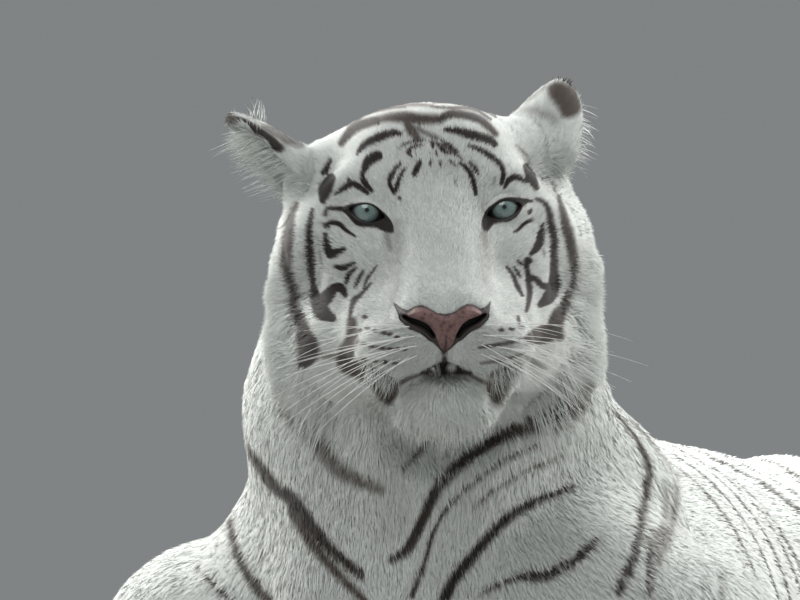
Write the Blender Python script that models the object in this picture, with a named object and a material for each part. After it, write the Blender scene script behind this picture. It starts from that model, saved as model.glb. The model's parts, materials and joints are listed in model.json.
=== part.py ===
"""White tiger, life size, lying with its forelegs stretched out and its head raised.

The body is a set of overlapping masses (ribs, shoulders, haunches, cheeks and so on) blended into
one closed surface, which stands for the tips of the coat. Thin cuts then part it into the
nodes that a person would name. Metres, +Z up, the animal faces -Y and its left side is +X.
"""

import math

import bpy
import bmesh
import numpy as np
from mathutils import Euler, Matrix, Vector

# ---------------------------------------------------------------- driving dimensions
EYE_LINE = (0.091, -0.257, 0.690)  # the point midway between the eyes
HEAD_TURN = math.radians(28.6)  # the face is turned this far to the animal's left
HEAD_ROLL = math.radians(-1.2)
EYE_APART = 0.131  # from pupil to pupil
EYE_SUNK = 0.019  # eyeball centres lie this far behind the eye line
EYE_RADIUS = 0.0195
LID_OPENING = (0.0350, 0.0210)  # width and height of the opening between the lids
LID_SLANT = math.radians(16)  # the outer corner is the higher one
LID_DEPTH = -0.045  # the opening is cut this far forward of the eyeball's centre
LID_POINTS = 20
GAP = 0.0003  # between neighbouring solids
START_VOXEL = 0.014  # grid of the first rough union
# Round the middle of the face: where the mesh starts finer, and where the head's triangles are.
FACE_REACH, HEAD_REACH = 0.17, 0.20
HEAD_TRIANGLES = 1430  # of the blended surface, before it is parted
BODY_TRIANGLES = 2560
CRUMB = 2e-6  # scraps under this many cubic metres, left where a cut grazes the skin, are dropped

WHITE = (0.78, 0.76, 0.71)
PINK = (0.42, 0.20, 0.19)
PALE_BLUE = (0.28, 0.45, 0.44)

HEAD = (
    Matrix.Translation(EYE_LINE)
    @ Matrix.Rotation(HEAD_TURN, 4, "Z")
    @ Matrix.Rotation(HEAD_ROLL, 4, "Y")
)


def face(x, depth, z):
    """A point on the head in millimetres: to its left, forward and up from the eye line."""
    return (x / 1000, -depth / 1000, z / 1000)


def mm(*values):
    return tuple(value / 1000 for value in values)


# ---------------------------------------------------------------- masses
class Mass:
    """An ellipsoid about a, or a tapered limb from a to b, that melts into the rest over k."""

    def __init__(self, a, b, r, r2, k, turn, head):
        self.a, self.r = np.array(a, np.float32), np.array(r, np.float32)
        self.b = None if b is None else np.array(b, np.float32)
        self.r2, self.k, self.head = r2, k, head
        self.turn = np.array(Euler([math.radians(t) for t in turn]).to_matrix(), np.float32)
        if b is None:
            self.middle, self.size = self.a, float(self.r.max())
        else:
            self.middle = (self.a + self.b) / 2
            self.size = float(np.linalg.norm(self.b - self.a)) / 2 + max(float(self.r), r2)

    def mirrored(self):
        flip = np.array([-1, 1, 1], np.float32)
        copy = Mass(self.a * flip, None if self.b is None else self.b * flip, self.r, self.r2,
                    self.k, (0, 0, 0), self.head)
        copy.turn = np.diag(flip) @ self.turn @ np.diag(flip)
        return copy

    def distance(self, points):
        """Signed distance, negative inside."""
        if self.b is None:
            near = (points - self.a) @ self.turn / self.r
            scaled = np.sqrt((near * near).sum(1)) + 1e-9
            slope = np.sqrt((near * near / (self.r * self.r)).sum(1)) + 1e-9
            return scaled * (scaled - 1) / slope
        along = self.b - self.a
        share = np.clip((points - self.a) @ along / (along @ along), 0, 1)
        gap = points - self.a - share[:, None] * along
        return np.sqrt((gap * gap).sum(1)) - (float(self.r) + (self.r2 - float(self.r)) * share)


def ball(centre, radii, k=0.05, turn=(0, 0, 0), head=False):
    return Mass(centre, None, radii, 0.0, k, turn, head)


def limb(start, end, r, r2, k=0.05, head=False):
    return Mass(start, end, r, r2, k, (0, 0, 0), head)


# ---------------------------------------------------------------- trunk and neck
def trunk_masses():
    return [
        ball((0, 0.27, 0.224), (0.222, 0.42, 0.228)),  # ribs
        ball((0, 0.05, 0.385), (0.125, 0.20, 0.108)),  # withers
        ball((-0.005, -0.045, 0.225), (0.190, 0.150, 0.222)),  # breast
        ball((0, -0.02, 0.085), (0.150, 0.150, 0.085)),  # brisket
        ball((0, 0.56, 0.205), (0.200, 0.30, 0.200)),  # loin
        ball((0, 0.70, 0.186), (0.222, 0.32, 0.195)),  # belly
        ball((0, 0.97, 0.212), (0.165, 0.22, 0.165)),  # pelvis
        limb((0, 0.16, 0.412), (0, 1.06, 0.308), 0.045, 0.042),  # back
    ]


def neck_masses():
    return [
        limb((-0.020, -0.005, 0.375), (-0.012, -0.055, 0.475), 0.189, 0.174),
        limb((-0.002, -0.060, 0.51), (0.014, -0.100, 0.65), 0.169, 0.130),
        limb((0.040, -0.175, 0.500), (-0.005, -0.125, 0.32), 0.082, 0.115, k=0.06),  # throat
        limb((0, 0.17, 0.425), (0, 0.00, 0.655), 0.080, 0.060, k=0.06),  # nape
    ]


# ---------------------------------------------------------------- legs
def toes(foot, ahead, heading, spread, reach, radii, k=0.008):
    """Four toes side by side, the middle two further forward."""
    across = np.array([-ahead[1], ahead[0], 0.0])
    made = []
    for place in (-1.5, -0.5, 0.5, 1.5):
        forward = reach if abs(place) < 1 else reach - 0.016
        centre = foot + ahead * forward + across * place * spread
        made.append(ball((centre[0], centre[1], radii[2] - 0.002), radii, k, (0, 0, heading)))
    return made


FORELEGS = {
    -1: ((-0.146, -0.055, 0.300), (-0.325, -0.005, 0.094), (-0.262, -0.345, 0.058), (-0.245, -0.440, 0.040)),
    1: ((0.160, -0.060, 0.315), (0.290, 0.020, 0.092), (0.235, -0.310, 0.058), (0.212, -0.405, 0.040)),
}  # shoulder, elbow, wrist and paw of the right and the left foreleg


def foreleg_masses(side):
    """The shoulder and upper arm come down to the elbow, and the forearm lies on the floor."""
    shoulder, elbow, wrist, paw = (np.array(point) for point in FORELEGS[side])
    ahead = (paw - wrist) / np.linalg.norm(paw - wrist)
    heading = math.degrees(math.atan2(ahead[0], -ahead[1]))
    turn = (0, 0, heading)
    return [
        ball((side * 0.143, 0.055, 0.338), (0.078, 0.125, 0.150), turn=(18, 0, 0)),
        limb(shoulder, shoulder * 0.4 + elbow * 0.6, 0.100, 0.102),
        limb(shoulder * 0.5 + elbow * 0.5, elbow, 0.104, 0.086, k=0.04),
        ball(shoulder * 0.3 + elbow * 0.7 + (side * 0.006, 0.012, 0.056), (0.100, 0.145, 0.125), 0.08),
        limb(elbow, wrist, 0.084, 0.057, k=0.03),
        ball(elbow * 0.66 + wrist * 0.34 + (0, 0, 0.004), (0.078, 0.125, 0.074), 0.04, turn),
        ball(wrist * 0.25 + paw * 0.75, (0.066, 0.088, 0.049), 0.03, turn),
    ] + toes(paw, ahead, heading, 0.034, 0.056, (0.0212, 0.042, 0.033))


def hindleg_masses(side):
    """The folded hind leg: thigh forward to the knee, shank back to the hock, foot forward."""
    hip, knee = np.array((side * 0.135, 1.00, 0.226)), np.array((side * 0.262, 0.70, 0.190))
    hock, sole = np.array((side * 0.275, 1.07, 0.062)), np.array((side * 0.305, 0.79, 0.048))
    foot = np.array((side * 0.312, 0.727, 0.038))
    return [
        limb(hip, knee, 0.142, 0.082),
        ball((side * 0.188, 0.93, 0.202), (0.110, 0.225, 0.168)),
        limb(knee, hock, 0.082, 0.048),
        limb(hock, sole, 0.048, 0.044, k=0.03),
        ball((foot[0], foot[1] + 0.008, 0.038), (0.057, 0.082, 0.045), 0.03),
    ] + toes(foot, np.array((0.0, -1.0, 0.0)), 0, 0.0287, 0.066, (0.0182, 0.038, 0.030))


# ---------------------------------------------------------------- tail
TAIL_ROUTE = [
    (0, 1.10, 0.255), (0, 1.22, 0.18), (0.012, 1.31, 0.090), (0.065, 1.375, 0.043),
    (0.165, 1.405, 0.0306), (0.285, 1.375, 0.0292), (0.385, 1.285, 0.0281), (0.440, 1.160, 0.0270),
    (0.455, 1.030, 0.0260), (0.440, 0.920, 0.0250),
]  # from the rump down to the floor and forward along the left flank


def smooth_route(points, steps):
    """Points along a Catmull-Rom curve through the route."""
    p = [np.array(q, float) for q in points]
    p = [2 * p[0] - p[1]] + p + [2 * p[-1] - p[-2]]
    route = []
    for before, start, end, after in zip(p, p[1:], p[2:], p[3:]):
        for i in range(steps):
            t = i / steps
            route.append(0.5 * (
                2 * start + (end - before) * t
                + (2 * before - 5 * start + 4 * end - after) * t ** 2
                + (3 * start - before - 3 * end + after) * t ** 3
            ))
    return route + [p[-2]]


def tail_masses():
    route = smooth_route(TAIL_ROUTE, 3)
    last = len(route) - 1

    def radius(i):
        return 0.036 + 0.034 * math.exp(-i / 3) - 0.009 * i / last

    return [limb(route[i], route[i + 1], radius(i), radius(i + 1), k=0.008 if i else 0.05)
            for i in range(last)]


# ---------------------------------------------------------------- head
EYE = (EYE_APART / 2, EYE_SUNK, 0.0)


def head_masses():
    middle = [
        ball(face(0, -92, 10), mm(98, 92, 84), 0.02, head=True),  # cranium
        ball(face(0, -82, 60), mm(90, 66, 41), 0.03, head=True),  # crown
        ball(face(0, -46, 28), mm(84, 38, 38), 0.03, head=True),  # brow
        ball(face(0, -40, 52), mm(58, 34, 40), 0.03, head=True),  # forehead
        ball(face(0, 40, -108), mm(68, 52, 42), 0.03, head=True),  # muzzle
        ball(face(0, 88, -104), mm(39, 24, 24), 0.012, head=True),  # tip of the nose
        ball(face(0, 44, -174), mm(50, 40, 34), 0.02, head=True),  # chin
        ball(face(0, -5, -165), mm(66, 60, 34), 0.03, head=True),  # under the jaw
        ball(face(98, -98, 50), mm(37, 38, 38), 0.03, head=True),  # root of the left ear
        ball(face(-97, -98, 32), mm(40, 38, 38), 0.03, head=True),  # root of the right ear
        ball(face(92, -98, -72), mm(76, 58, 116), 0.03, head=True),  # left side of the ruff
        ball(face(90, -98, -140), mm(78, 54, 64), 0.03, head=True),  # and its foot
        ball(face(-88, -98, -75), mm(69, 58, 113), 0.03, head=True),  # right side of the ruff
        ball(face(-86, -98, -139), mm(72, 54, 63), 0.03, head=True),  # and its foot
    ]
    left = [
        limb(face(16, -12, -12), face(15, 80, -96), 0.0310, 0.0285, 0.03, True),  # bridge
        ball(face(58, -30, 24), mm(40, 26, 22), 0.02, head=True),  # brow over the eye
        ball(face(84, -52, -28), mm(56, 50, 48), 0.03, head=True),  # cheekbone
        ball(face(58, -8, -66), mm(46, 30, 46), 0.03, head=True),  # cheek
        ball(face(50, 18, -112), mm(42, 44, 42), 0.03, head=True),  # side of the muzzle
        ball(face(74, -44, -118), mm(52, 50, 52), 0.03, head=True),  # jowl
        limb(face(0, 26, -164), face(74, -84, -124), 0.038, 0.052, 0.03, True),  # jaw
        ball(face(43, 64, -125), mm(42, 44, 31), 0.012, head=True),  # whisker pad
        ball(EYE, mm(24.5, 23.5, 23.5), 0.012, head=True),  # lids
    ]
    return middle + left + [mass.mirrored() for mass in left]


def all_masses():
    return (
        trunk_masses()
        + neck_masses()
        + foreleg_masses(-1)
        + foreleg_masses(1)
        + hindleg_masses(-1)
        + hindleg_masses(1)
        + tail_masses()
        + head_masses()
    )


# ---------------------------------------------------------------- the blended surface
TO_HEAD = np.array(HEAD.inverted(), np.float32)


def field(points, masses):
    """Signed distance to the blended body. Each mass is worked out only near its own surface."""
    points = points.astype(np.float32)
    on_head = points @ TO_HEAD[:3, :3].T + TO_HEAD[:3, 3]
    found = np.full(len(points), 0.5, np.float32)
    for mass in masses:
        seen = on_head if mass.head else points
        from_middle = np.sqrt(((seen - mass.middle) ** 2).sum(1))
        near = from_middle - mass.size < found + mass.k
        if not near.any():
            continue
        here, new = found[near], mass.distance(seen[near])
        blend = np.maximum(mass.k - np.abs(here - new), 0) / mass.k
        found[near] = np.minimum(here, new) - blend * blend * mass.k / 4
    return found


def settle(mesh, masses, rounds=2, step=0.001):
    """Moves every vertex onto the surface, along the field's own slope."""
    place = np.empty(len(mesh.vertices) * 3, np.float32)
    mesh.vertices.foreach_get("co", place)
    place = place.reshape(-1, 3)
    corners = np.array([(1, -1, -1), (-1, -1, 1), (-1, 1, -1), (1, 1, 1)], np.float32)
    for _ in range(rounds):
        samples = [field(place + corner * step, masses) for corner in corners]
        slope = sum(s[:, None] * c for s, c in zip(samples, corners)) / (4 * step)
        steep = np.maximum((slope * slope).sum(1), 0.25)
        distance = sum(samples) / 4
        place = place - slope * (distance / steep)[:, None]
    mesh.vertices.foreach_set("co", place.reshape(-1))
    mesh.update()


def applied(ob):
    """Replaces the object's mesh by its evaluated one and clears its modifiers."""
    graph = bpy.context.evaluated_depsgraph_get()
    mesh = bpy.data.meshes.new_from_object(ob.evaluated_get(graph))
    ob.modifiers.clear()
    old, ob.data = ob.data, mesh
    bpy.data.meshes.remove(old)
    return ob


def new_object(name, mesh):
    ob = bpy.data.objects.new(name, mesh)
    bpy.context.collection.objects.link(ob)
    return ob


def from_bmesh(name, bm):
    mesh = bpy.data.meshes.new(name)
    bm.to_mesh(mesh)
    bm.free()
    return new_object(name, mesh)


def rough_union(masses):
    """Icospheres for all the masses, run together by a voxel remesh."""
    bm = bmesh.new()
    for mass in masses:
        base = HEAD if mass.head else Matrix.Identity(4)
        if mass.b is None:
            turn = Matrix(mass.turn.tolist()).to_4x4()
            shape = Matrix.Translation(mass.a.tolist()) @ turn @ Matrix.Diagonal((*mass.r.tolist(), 1))
            bmesh.ops.create_icosphere(bm, subdivisions=3, radius=1.0, matrix=base @ shape)
            continue
        steps = max(2, int(np.linalg.norm(mass.b - mass.a) / (0.4 * min(float(mass.r), mass.r2))))
        for i in range(steps + 1):
            centre = mass.a + (mass.b - mass.a) * (i / steps)
            radius = float(mass.r) + (mass.r2 - float(mass.r)) * i / steps
            bmesh.ops.create_icosphere(bm, subdivisions=2, radius=radius,
                                       matrix=base @ Matrix.Translation(centre.tolist()))
    ob = from_bmesh("body", bm)
    remesh = ob.modifiers.new("union", "REMESH")
    remesh.mode = "VOXEL"
    remesh.voxel_size = START_VOXEL
    return applied(ob)


def split_near(ob, centre, radius):
    """Splits each face within the radius in four."""
    bm = bmesh.new()
    bm.from_mesh(ob.data)
    edges = set()
    for f in bm.faces:
        if (f.calc_center_median() - centre).length < radius:
            edges.update(f.edges)
    bmesh.ops.subdivide_edges(bm, edges=list(edges), cuts=1, use_grid_fill=True)
    bm.to_mesh(ob.data)
    bm.free()


def thinned(ob, centre, radius, near_count, far_count):
    """Triangulates, then collapses edges, each side of a sphere down to its own count."""
    ob.modifiers.new("triangles", "TRIANGULATE")
    applied(ob)
    near_before = sum((Vector(p.center) - centre).length < radius for p in ob.data.polygons)
    for wanted, inside in ((near_before + far_count, False), (near_count + far_count, True)):
        group = ob.vertex_groups.new(name="thin")
        chosen = [v.index for v in ob.data.vertices if ((v.co - centre).length < radius) == inside]
        group.add(chosen, 1, "REPLACE")
        collapse = ob.modifiers.new("collapse", "DECIMATE")
        collapse.vertex_group = group.name
        collapse.ratio = wanted / len(ob.data.polygons)
        applied(ob)
        ob.vertex_groups.clear()
    return ob


def keep_above_floor(ob):
    """Flats on the floor: the mesh is cut level at z = 0 and the cut is closed."""
    bm = bmesh.new()
    bm.from_mesh(ob.data)
    everything = bm.verts[:] + bm.edges[:] + bm.faces[:]
    bmesh.ops.bisect_plane(bm, geom=everything, dist=1e-6, plane_co=(0, 0, 0), plane_no=(0, 0, 1),
                           clear_inner=True)
    rims = [e for e in bm.edges if e.is_boundary]
    bmesh.ops.triangle_fill(bm, use_beauty=True, edges=rims, normal=(0, 0, -1))
    bmesh.ops.recalc_face_normals(bm, faces=bm.faces)
    bm.to_mesh(ob.data)
    bm.free()


# ---------------------------------------------------------------- cutters
def helper(ob):
    ob.hide_render = True
    ob.display_type = "WIRE"
    return ob


def cut_with(ob, cutter, operation="DIFFERENCE"):
    boolean = ob.modifiers.new("cut", "BOOLEAN")
    boolean.operation = operation
    boolean.object = cutter
    bpy.context.view_layer.update()
    return applied(ob)


def trimmed(bm, plane):
    """Takes off what lies on the side that the plane, a point and a normal, faces."""
    if plane:
        everything = bm.verts[:] + bm.edges[:] + bm.faces[:]
        bmesh.ops.bisect_plane(bm, geom=everything, dist=1e-6, plane_co=plane[0], plane_no=plane[1],
                               clear_outer=True)


def blade(profile, half_width, place=Matrix.Identity(4), axis="X", end=None):
    """A thin sheet: the profile, a chain of points in a plane, drawn out both ways."""
    bm = bmesh.new()
    rows = []
    for offset in (-half_width, half_width):
        spots = [{"X": (offset, u, v), "Y": (u, offset, v), "Z": (u, v, offset)}[axis]
                 for u, v in profile]
        rows.append([bm.verts.new(spot) for spot in spots])
    for i in range(len(profile) - 1):
        bm.faces.new((rows[0][i], rows[0][i + 1], rows[1][i + 1], rows[1][i]))
    bm.transform(place)
    trimmed(bm, end)
    return walled(helper(from_bmesh("blade", bm)))


def walled(ob):
    """Thickens a sheet or closed shell by the gap."""
    wall = ob.modifiers.new("wall", "SOLIDIFY")
    wall.thickness = GAP
    wall.offset = 0
    wall.use_even_offset = True
    return applied(ob)


def across(point, direction, half_width, half_height, end=None):
    """A flat blade at a point of a limb, square to the limb's direction."""
    turn = Vector(direction).to_track_quat("Z", "Y").to_matrix().to_4x4()
    place = Matrix.Translation(point) @ turn
    return blade([(-half_height, 0), (half_height, 0)], half_width, place, end=end)


def prism(outline, low, high, place=Matrix.Identity(4), end=None):
    """A solid bar with the outline in X and Z, from low to high along Y."""
    bm = bmesh.new()
    ring = [bm.verts.new((x, low, z)) for x, z in outline]
    base = bm.faces.new(ring)
    lifted = bmesh.ops.extrude_face_region(bm, geom=[base])
    tops = [v for v in lifted["geom"] if isinstance(v, bmesh.types.BMVert)]
    bmesh.ops.translate(bm, verts=tops, vec=(0, high - low, 0))
    bmesh.ops.recalc_face_normals(bm, faces=bm.faces)
    trimmed(bm, end)
    bm.transform(place)
    return helper(from_bmesh("prism", bm))


def oval(width, height, count, slant):
    """Points of an oval with pointed ends, for the opening between the lids."""
    points = []
    for i in range(count):
        angle = 2 * math.pi * i / count
        x = width / 2 * math.cos(angle)
        z = height / 2 * math.sin(angle) * (1 - 0.35 * math.cos(angle) ** 2)
        points.append((x * math.cos(slant) - z * math.sin(slant), x * math.sin(slant) + z * math.cos(slant)))
    return points


# ---------------------------------------------------------------- where the body is parted
NOSE_OUTLINE = [
    (0.000, -0.094), (0.022, -0.090), (0.041, -0.089), (0.046, -0.096), (0.040, -0.108),
    (0.024, -0.122), (0.011, -0.134), (0.000, -0.139),
]  # the left half of the nose leather, from its top to its foot
JAW_OUTLINE = [(-0.056, -0.157), (0.056, -0.157), (0.056, -0.30), (-0.056, -0.30)]
BEFORE_FACE = -0.20  # this far forward there is nothing left to cut
FOOT_OF_HEAD = -0.218  # the level below the eye line where head and throat are parted


def head_cutters():
    behind_ruff = blade([(-0.30, FOOT_OF_HEAD), (0.128, FOOT_OF_HEAD), (0.205, 0.17)], 0.30, HEAD)
    under_jaw = (Vector((0, 0, FOOT_OF_HEAD - GAP / 3)), Vector((0, 0, -1)))
    right_half = [(-x, z) for x, z in reversed(NOSE_OUTLINE[1:-1])]
    return [
        behind_ruff,
        walled(prism(JAW_OUTLINE, BEFORE_FACE, 0.020, HEAD, under_jaw)),
        walled(prism(NOSE_OUTLINE + right_half, BEFORE_FACE, -0.088, HEAD)),
    ]


NECK_CUT = [(-0.45, 0.238), (0.40, 0.638)]  # in Y and Z, from under the throat to the withers
BEHIND_SHOULDERS, BEFORE_HAUNCHES, TAIL_ROOT = 0.20, 0.60, 1.165  # in Y
TRUNK_HALF = 0.40  # half the width of a blade across the trunk
LEG_BLADE_LEVEL, LEG_BLADE_HALF = 0.25, 0.31  # blades that stand upright between the trunk and the legs


def trunk_cutters():
    upright = [blade([(y, -0.1), (y, 0.6)], TRUNK_HALF) for y in (BEHIND_SHOULDERS, BEFORE_HAUNCHES)]
    before_tail = blade([(TAIL_ROOT, 0.02), (TAIL_ROOT, 0.60)], TRUNK_HALF / 2)
    return upright + [blade(NECK_CUT, TRUNK_HALF), before_tail]


def leg_cutters(side):
    shoulder, elbow, wrist, paw = (Vector(point) for point in FORELEGS[side])
    crease = (wrist - elbow).normalized() - (shoulder - elbow).normalized()
    armpit = [(side * 0.176, -0.45), (side * 0.182, 0.155), (side * 0.60, 0.175)]
    groin = [(side * 0.105, 1.30), (side * 0.165, 1.00), (side * 0.212, 0.70), (side * 0.236, 0.60)]
    level = Matrix.Translation((0, 0, LEG_BLADE_LEVEL))
    (y0, z0), (y1, z1) = NECK_CUT
    under_neck = (Vector((0, y0, z0)), Vector((0, z0 - z1, y1 - y0)).normalized())
    foot = [(side * 0.226, -0.05), (side * 0.226, 0.104), (side * 0.39, 0.104), (side * 0.39, -0.05)]
    return [
        blade(armpit, LEG_BLADE_HALF, level, "Z", under_neck),
        across(elbow, crease, 0.20, 0.27, (Vector((side * 0.174, 0, 0)), Vector((-side, 0, 0)))),
        across(wrist.lerp(paw, 0.05), paw - wrist, 0.10, 0.12),
        blade(groin, LEG_BLADE_HALF, level, "Z"),
        walled(prism(foot, 0.45, 1.03)),
    ]


def tail_cutters():
    route = smooth_route(TAIL_ROUTE, 3)
    return [across(Vector(route[i]), Vector(route[i + 1] - route[i - 1]), 0.075, 0.075) for i in (9, 15, 21)]


ANCHORS = {
    "head": HEAD @ Vector(face(0, -80, -20)),
    "lower_jaw": HEAD @ Vector(face(0, 40, -180)),
    "nose": HEAD @ Vector(face(0, 100, -108)),
    "neck": Vector((0, -0.02, 0.50)),
    "chest": Vector((0, 0.02, 0.22)),
    "barrel": Vector((0, 0.40, 0.22)),
    "rump": Vector((0, 0.88, 0.22)),
    "tail_1": Vector((0.01, 1.27, 0.14)),
    "tail_2": Vector((0.16, 1.40, 0.04)),
    "tail_3": Vector((0.38, 1.28, 0.04)),
    "tail_4": Vector((0.45, 1.02, 0.03)),
}
for word, x in (("left", 1), ("right", -1)):
    ANCHORS["upper_arm_" + word] = Vector((x * 0.27, 0.00, 0.19))
    ANCHORS["forearm_" + word] = Vector((x * 0.265, -0.20, 0.07))
    ANCHORS["forepaw_" + word] = Vector((x * 0.235, -0.43, 0.035))
    ANCHORS["thigh_" + word] = Vector((x * 0.25, 0.88, 0.19))
    ANCHORS["hind_foot_" + word] = Vector((x * 0.30, 0.82, 0.045))


def loose_parts(ob):
    """Each connected part of the mesh as a bmesh of its own, with its centre and volume."""
    bm = bmesh.new()
    bm.from_mesh(ob.data)
    left = set(bm.verts)
    while left:
        group, edge_of_group = set(), [left.pop()]
        while edge_of_group:
            v = edge_of_group.pop()
            group.add(v)
            for e in v.link_edges:
                other = e.other_vert(v)
                if other in left:
                    left.remove(other)
                    edge_of_group.append(other)
        part = bm.copy()
        part.verts.ensure_lookup_table()
        keep = {v.index for v in group}
        bmesh.ops.delete(part, geom=[v for v in part.verts if v.index not in keep], context="VERTS")
        centre = sum((v.co for v in part.verts), Vector()) / len(part.verts)
        yield part, centre, part.calc_volume()
    bm.free()


def part_body(body):
    """Cuts the body up, and names each part after the anchor that its centre is nearest."""
    cutters = head_cutters() + trunk_cutters() + leg_cutters(-1) + leg_cutters(1) + tail_cutters()
    for cutter in cutters:
        cut_with(body, cutter)
    nodes = {}
    body.data.update()
    for part, centre, volume in loose_parts(body):
        name = min(ANCHORS, key=lambda key: (ANCHORS[key] - centre).length)
        if volume < CRUMB:
            part.free()
        elif name in nodes:
            raise ValueError(name + " was found twice")
        else:
            nodes[name] = from_bmesh(name, part)
    for cutter in cutters:
        bpy.data.objects.remove(cutter)
    bpy.data.objects.remove(body)
    return nodes


# ---------------------------------------------------------------- eyes and ears
EARS = {
    "ear_right": ((-126, -96, 39), (-0.79, 0.05, 0.60), (-0.57, 0.25, -0.72), 0.106, 0.074, 0.037),
    "ear_left": ((104, -100, 57), (0.46, -0.42, 0.78), (0.58, -0.70, -0.40), 0.098, 0.094, 0.037),
}  # root, axis and opening direction (to its left, forward, up), then length, width and depth of the cup
EAR_WALL = 0.0085
EAR_ROOTED = 0.18  # this share of the ear's length is inside the head
EAR_ROWS, EAR_COLUMNS = 8, 9


def eyeball(name, centre, radius):
    bm = bmesh.new()
    bmesh.ops.create_uvsphere(bm, u_segments=16, v_segments=10, radius=radius,
                              matrix=centre @ Matrix.Rotation(math.pi / 2, 4, "X"))
    return from_bmesh(name, bm)


def add_eye(name, side, head):
    """An eyeball, the hollow it sits in and the opening between the lids."""
    centre = HEAD @ Matrix.Translation((side * EYE[0], EYE[1], EYE[2]))
    hollow = helper(eyeball("hollow", centre, EYE_RADIUS + 2 * GAP))
    opening = prism(oval(*LID_OPENING, LID_POINTS, side * LID_SLANT), LID_DEPTH, 0.0, centre)
    for cutter in (hollow, opening):
        cut_with(head, cutter)
        bpy.data.objects.remove(cutter)
    return eyeball(name, centre, EYE_RADIUS)


def ear_sheet(root, axis, opening, length, width, cup):
    """A cupped sheet, wound half round at its root and flatter towards its round tip, with a wall."""
    rise = Vector(face(*axis)).normalized()
    mouth = Vector(face(*opening))
    mouth = (mouth - rise * mouth.dot(rise)).normalized()
    side = rise.cross(mouth)
    bm = bmesh.new()
    grid = []
    for i in range(EAR_ROWS):
        up = i / (EAR_ROWS - 1)
        half = width / 2 * min(1, 0.8 + up) * (1 - 0.97 * up ** 2.4) ** 0.62
        wound = math.radians(92 - 32 * up)
        for j in range(EAR_COLUMNS):
            angle = (2 * j / (EAR_COLUMNS - 1) - 1) * wound
            back = cup * (0.35 + 0.65 * half / (width / 2)) * (math.cos(angle) - 0.4)
            spot = Vector(face(*root)) + rise * (length * (up - EAR_ROOTED))
            across = half * math.sin(angle) / math.sin(min(wound, math.pi / 2))
            grid.append(bm.verts.new(spot + side * across - mouth * back))
    for i in range(EAR_ROWS - 1):
        for j in range(EAR_COLUMNS - 1):
            k = i * EAR_COLUMNS + j
            bm.faces.new((grid[k], grid[k + 1], grid[k + EAR_COLUMNS + 1], grid[k + EAR_COLUMNS]))
    bm.transform(HEAD)
    ear = from_bmesh("ear", bm)
    wall = ear.modifiers.new("wall", "SOLIDIFY")
    wall.thickness = EAR_WALL
    wall.offset = 0
    applied(ear)
    bm = bmesh.new()
    bm.from_mesh(ear.data)
    bmesh.ops.recalc_face_normals(bm, faces=bm.faces)
    bm.to_mesh(ear.data)
    bm.free()
    return ear


def grown(ob, distance):
    """A copy of the object with each vertex moved out along its normal."""
    copy = helper(new_object("grown", ob.data.copy()))
    for v in copy.data.vertices:
        v.co += v.normal * distance
    return copy


# ---------------------------------------------------------------- finish
def finish(ob, colour, roughness):
    material = bpy.data.materials.new(ob.name + "_finish")
    material.use_nodes = True
    shader = material.node_tree.nodes["Principled BSDF"]
    shader.inputs["Base Color"].default_value = (*colour, 1)
    shader.inputs["Roughness"].default_value = roughness
    ob.data.materials.clear()
    ob.data.materials.append(material)
    ob.data.shade_smooth()
    ob.data.set_sharp_from_angle(angle=math.radians(40))


def stand_on_origin(objects):
    """Moves everything so that the middle of the animal's foot-print is the origin."""
    corners = np.array([v.co for ob in objects for v in ob.data.vertices])
    low, high = corners.min(0), corners.max(0)
    shift = Vector((-(low[0] + high[0]) / 2, -(low[1] + high[1]) / 2, -low[2]))
    for ob in objects:
        ob.data.transform(Matrix.Translation(shift))


def build():
    for ob in list(bpy.data.objects):
        bpy.data.objects.remove(ob)
    masses = all_masses()
    body = rough_union(masses)
    settle(body.data, masses, 1)
    face_middle = HEAD @ Vector(face(0, 0, -50))
    split_near(body, face_middle, FACE_REACH)
    settle(body.data, masses, 2)
    thinned(body, face_middle, HEAD_REACH, HEAD_TRIANGLES, BODY_TRIANGLES)
    keep_above_floor(body)
    nodes = part_body(body)
    for word, side in (("left", 1), ("right", -1)):
        nodes["eye_" + word] = add_eye("eye_" + word, side, nodes["head"])
    room = grown(nodes["head"], 2 * GAP)
    for name, sizes in EARS.items():
        nodes[name] = cut_with(ear_sheet(*sizes), room)
        nodes[name].name = name
    bpy.data.objects.remove(room)
    for name, ob in nodes.items():
        if name.startswith("eye"):
            finish(ob, PALE_BLUE, 0.15)
        elif name == "nose":
            finish(ob, PINK, 0.45)
        else:
            finish(ob, WHITE, 0.85)
    stand_on_origin(list(nodes.values()))
    print(len(nodes), "nodes", sum(len(ob.data.polygons) for ob in nodes.values()), "faces")


build()
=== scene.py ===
# %% [markdown]
# # A white tiger at rest
# This file dresses a set of plain solids as a life-size white tiger. The tiger lies with its forelegs
# stretched out, its chest low and its head raised, looking past the viewer's shoulder.
# The solids were made first and give the outline out to the tips of the fur. Here one skin is laid inside
# them, and over it come the coat, the eyes, the nose and the whiskers.

# %% The solids, the modules and the size to keep
import json
import math

import bpy
import numpy as np
from mathutils import Euler, Matrix, Vector

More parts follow.
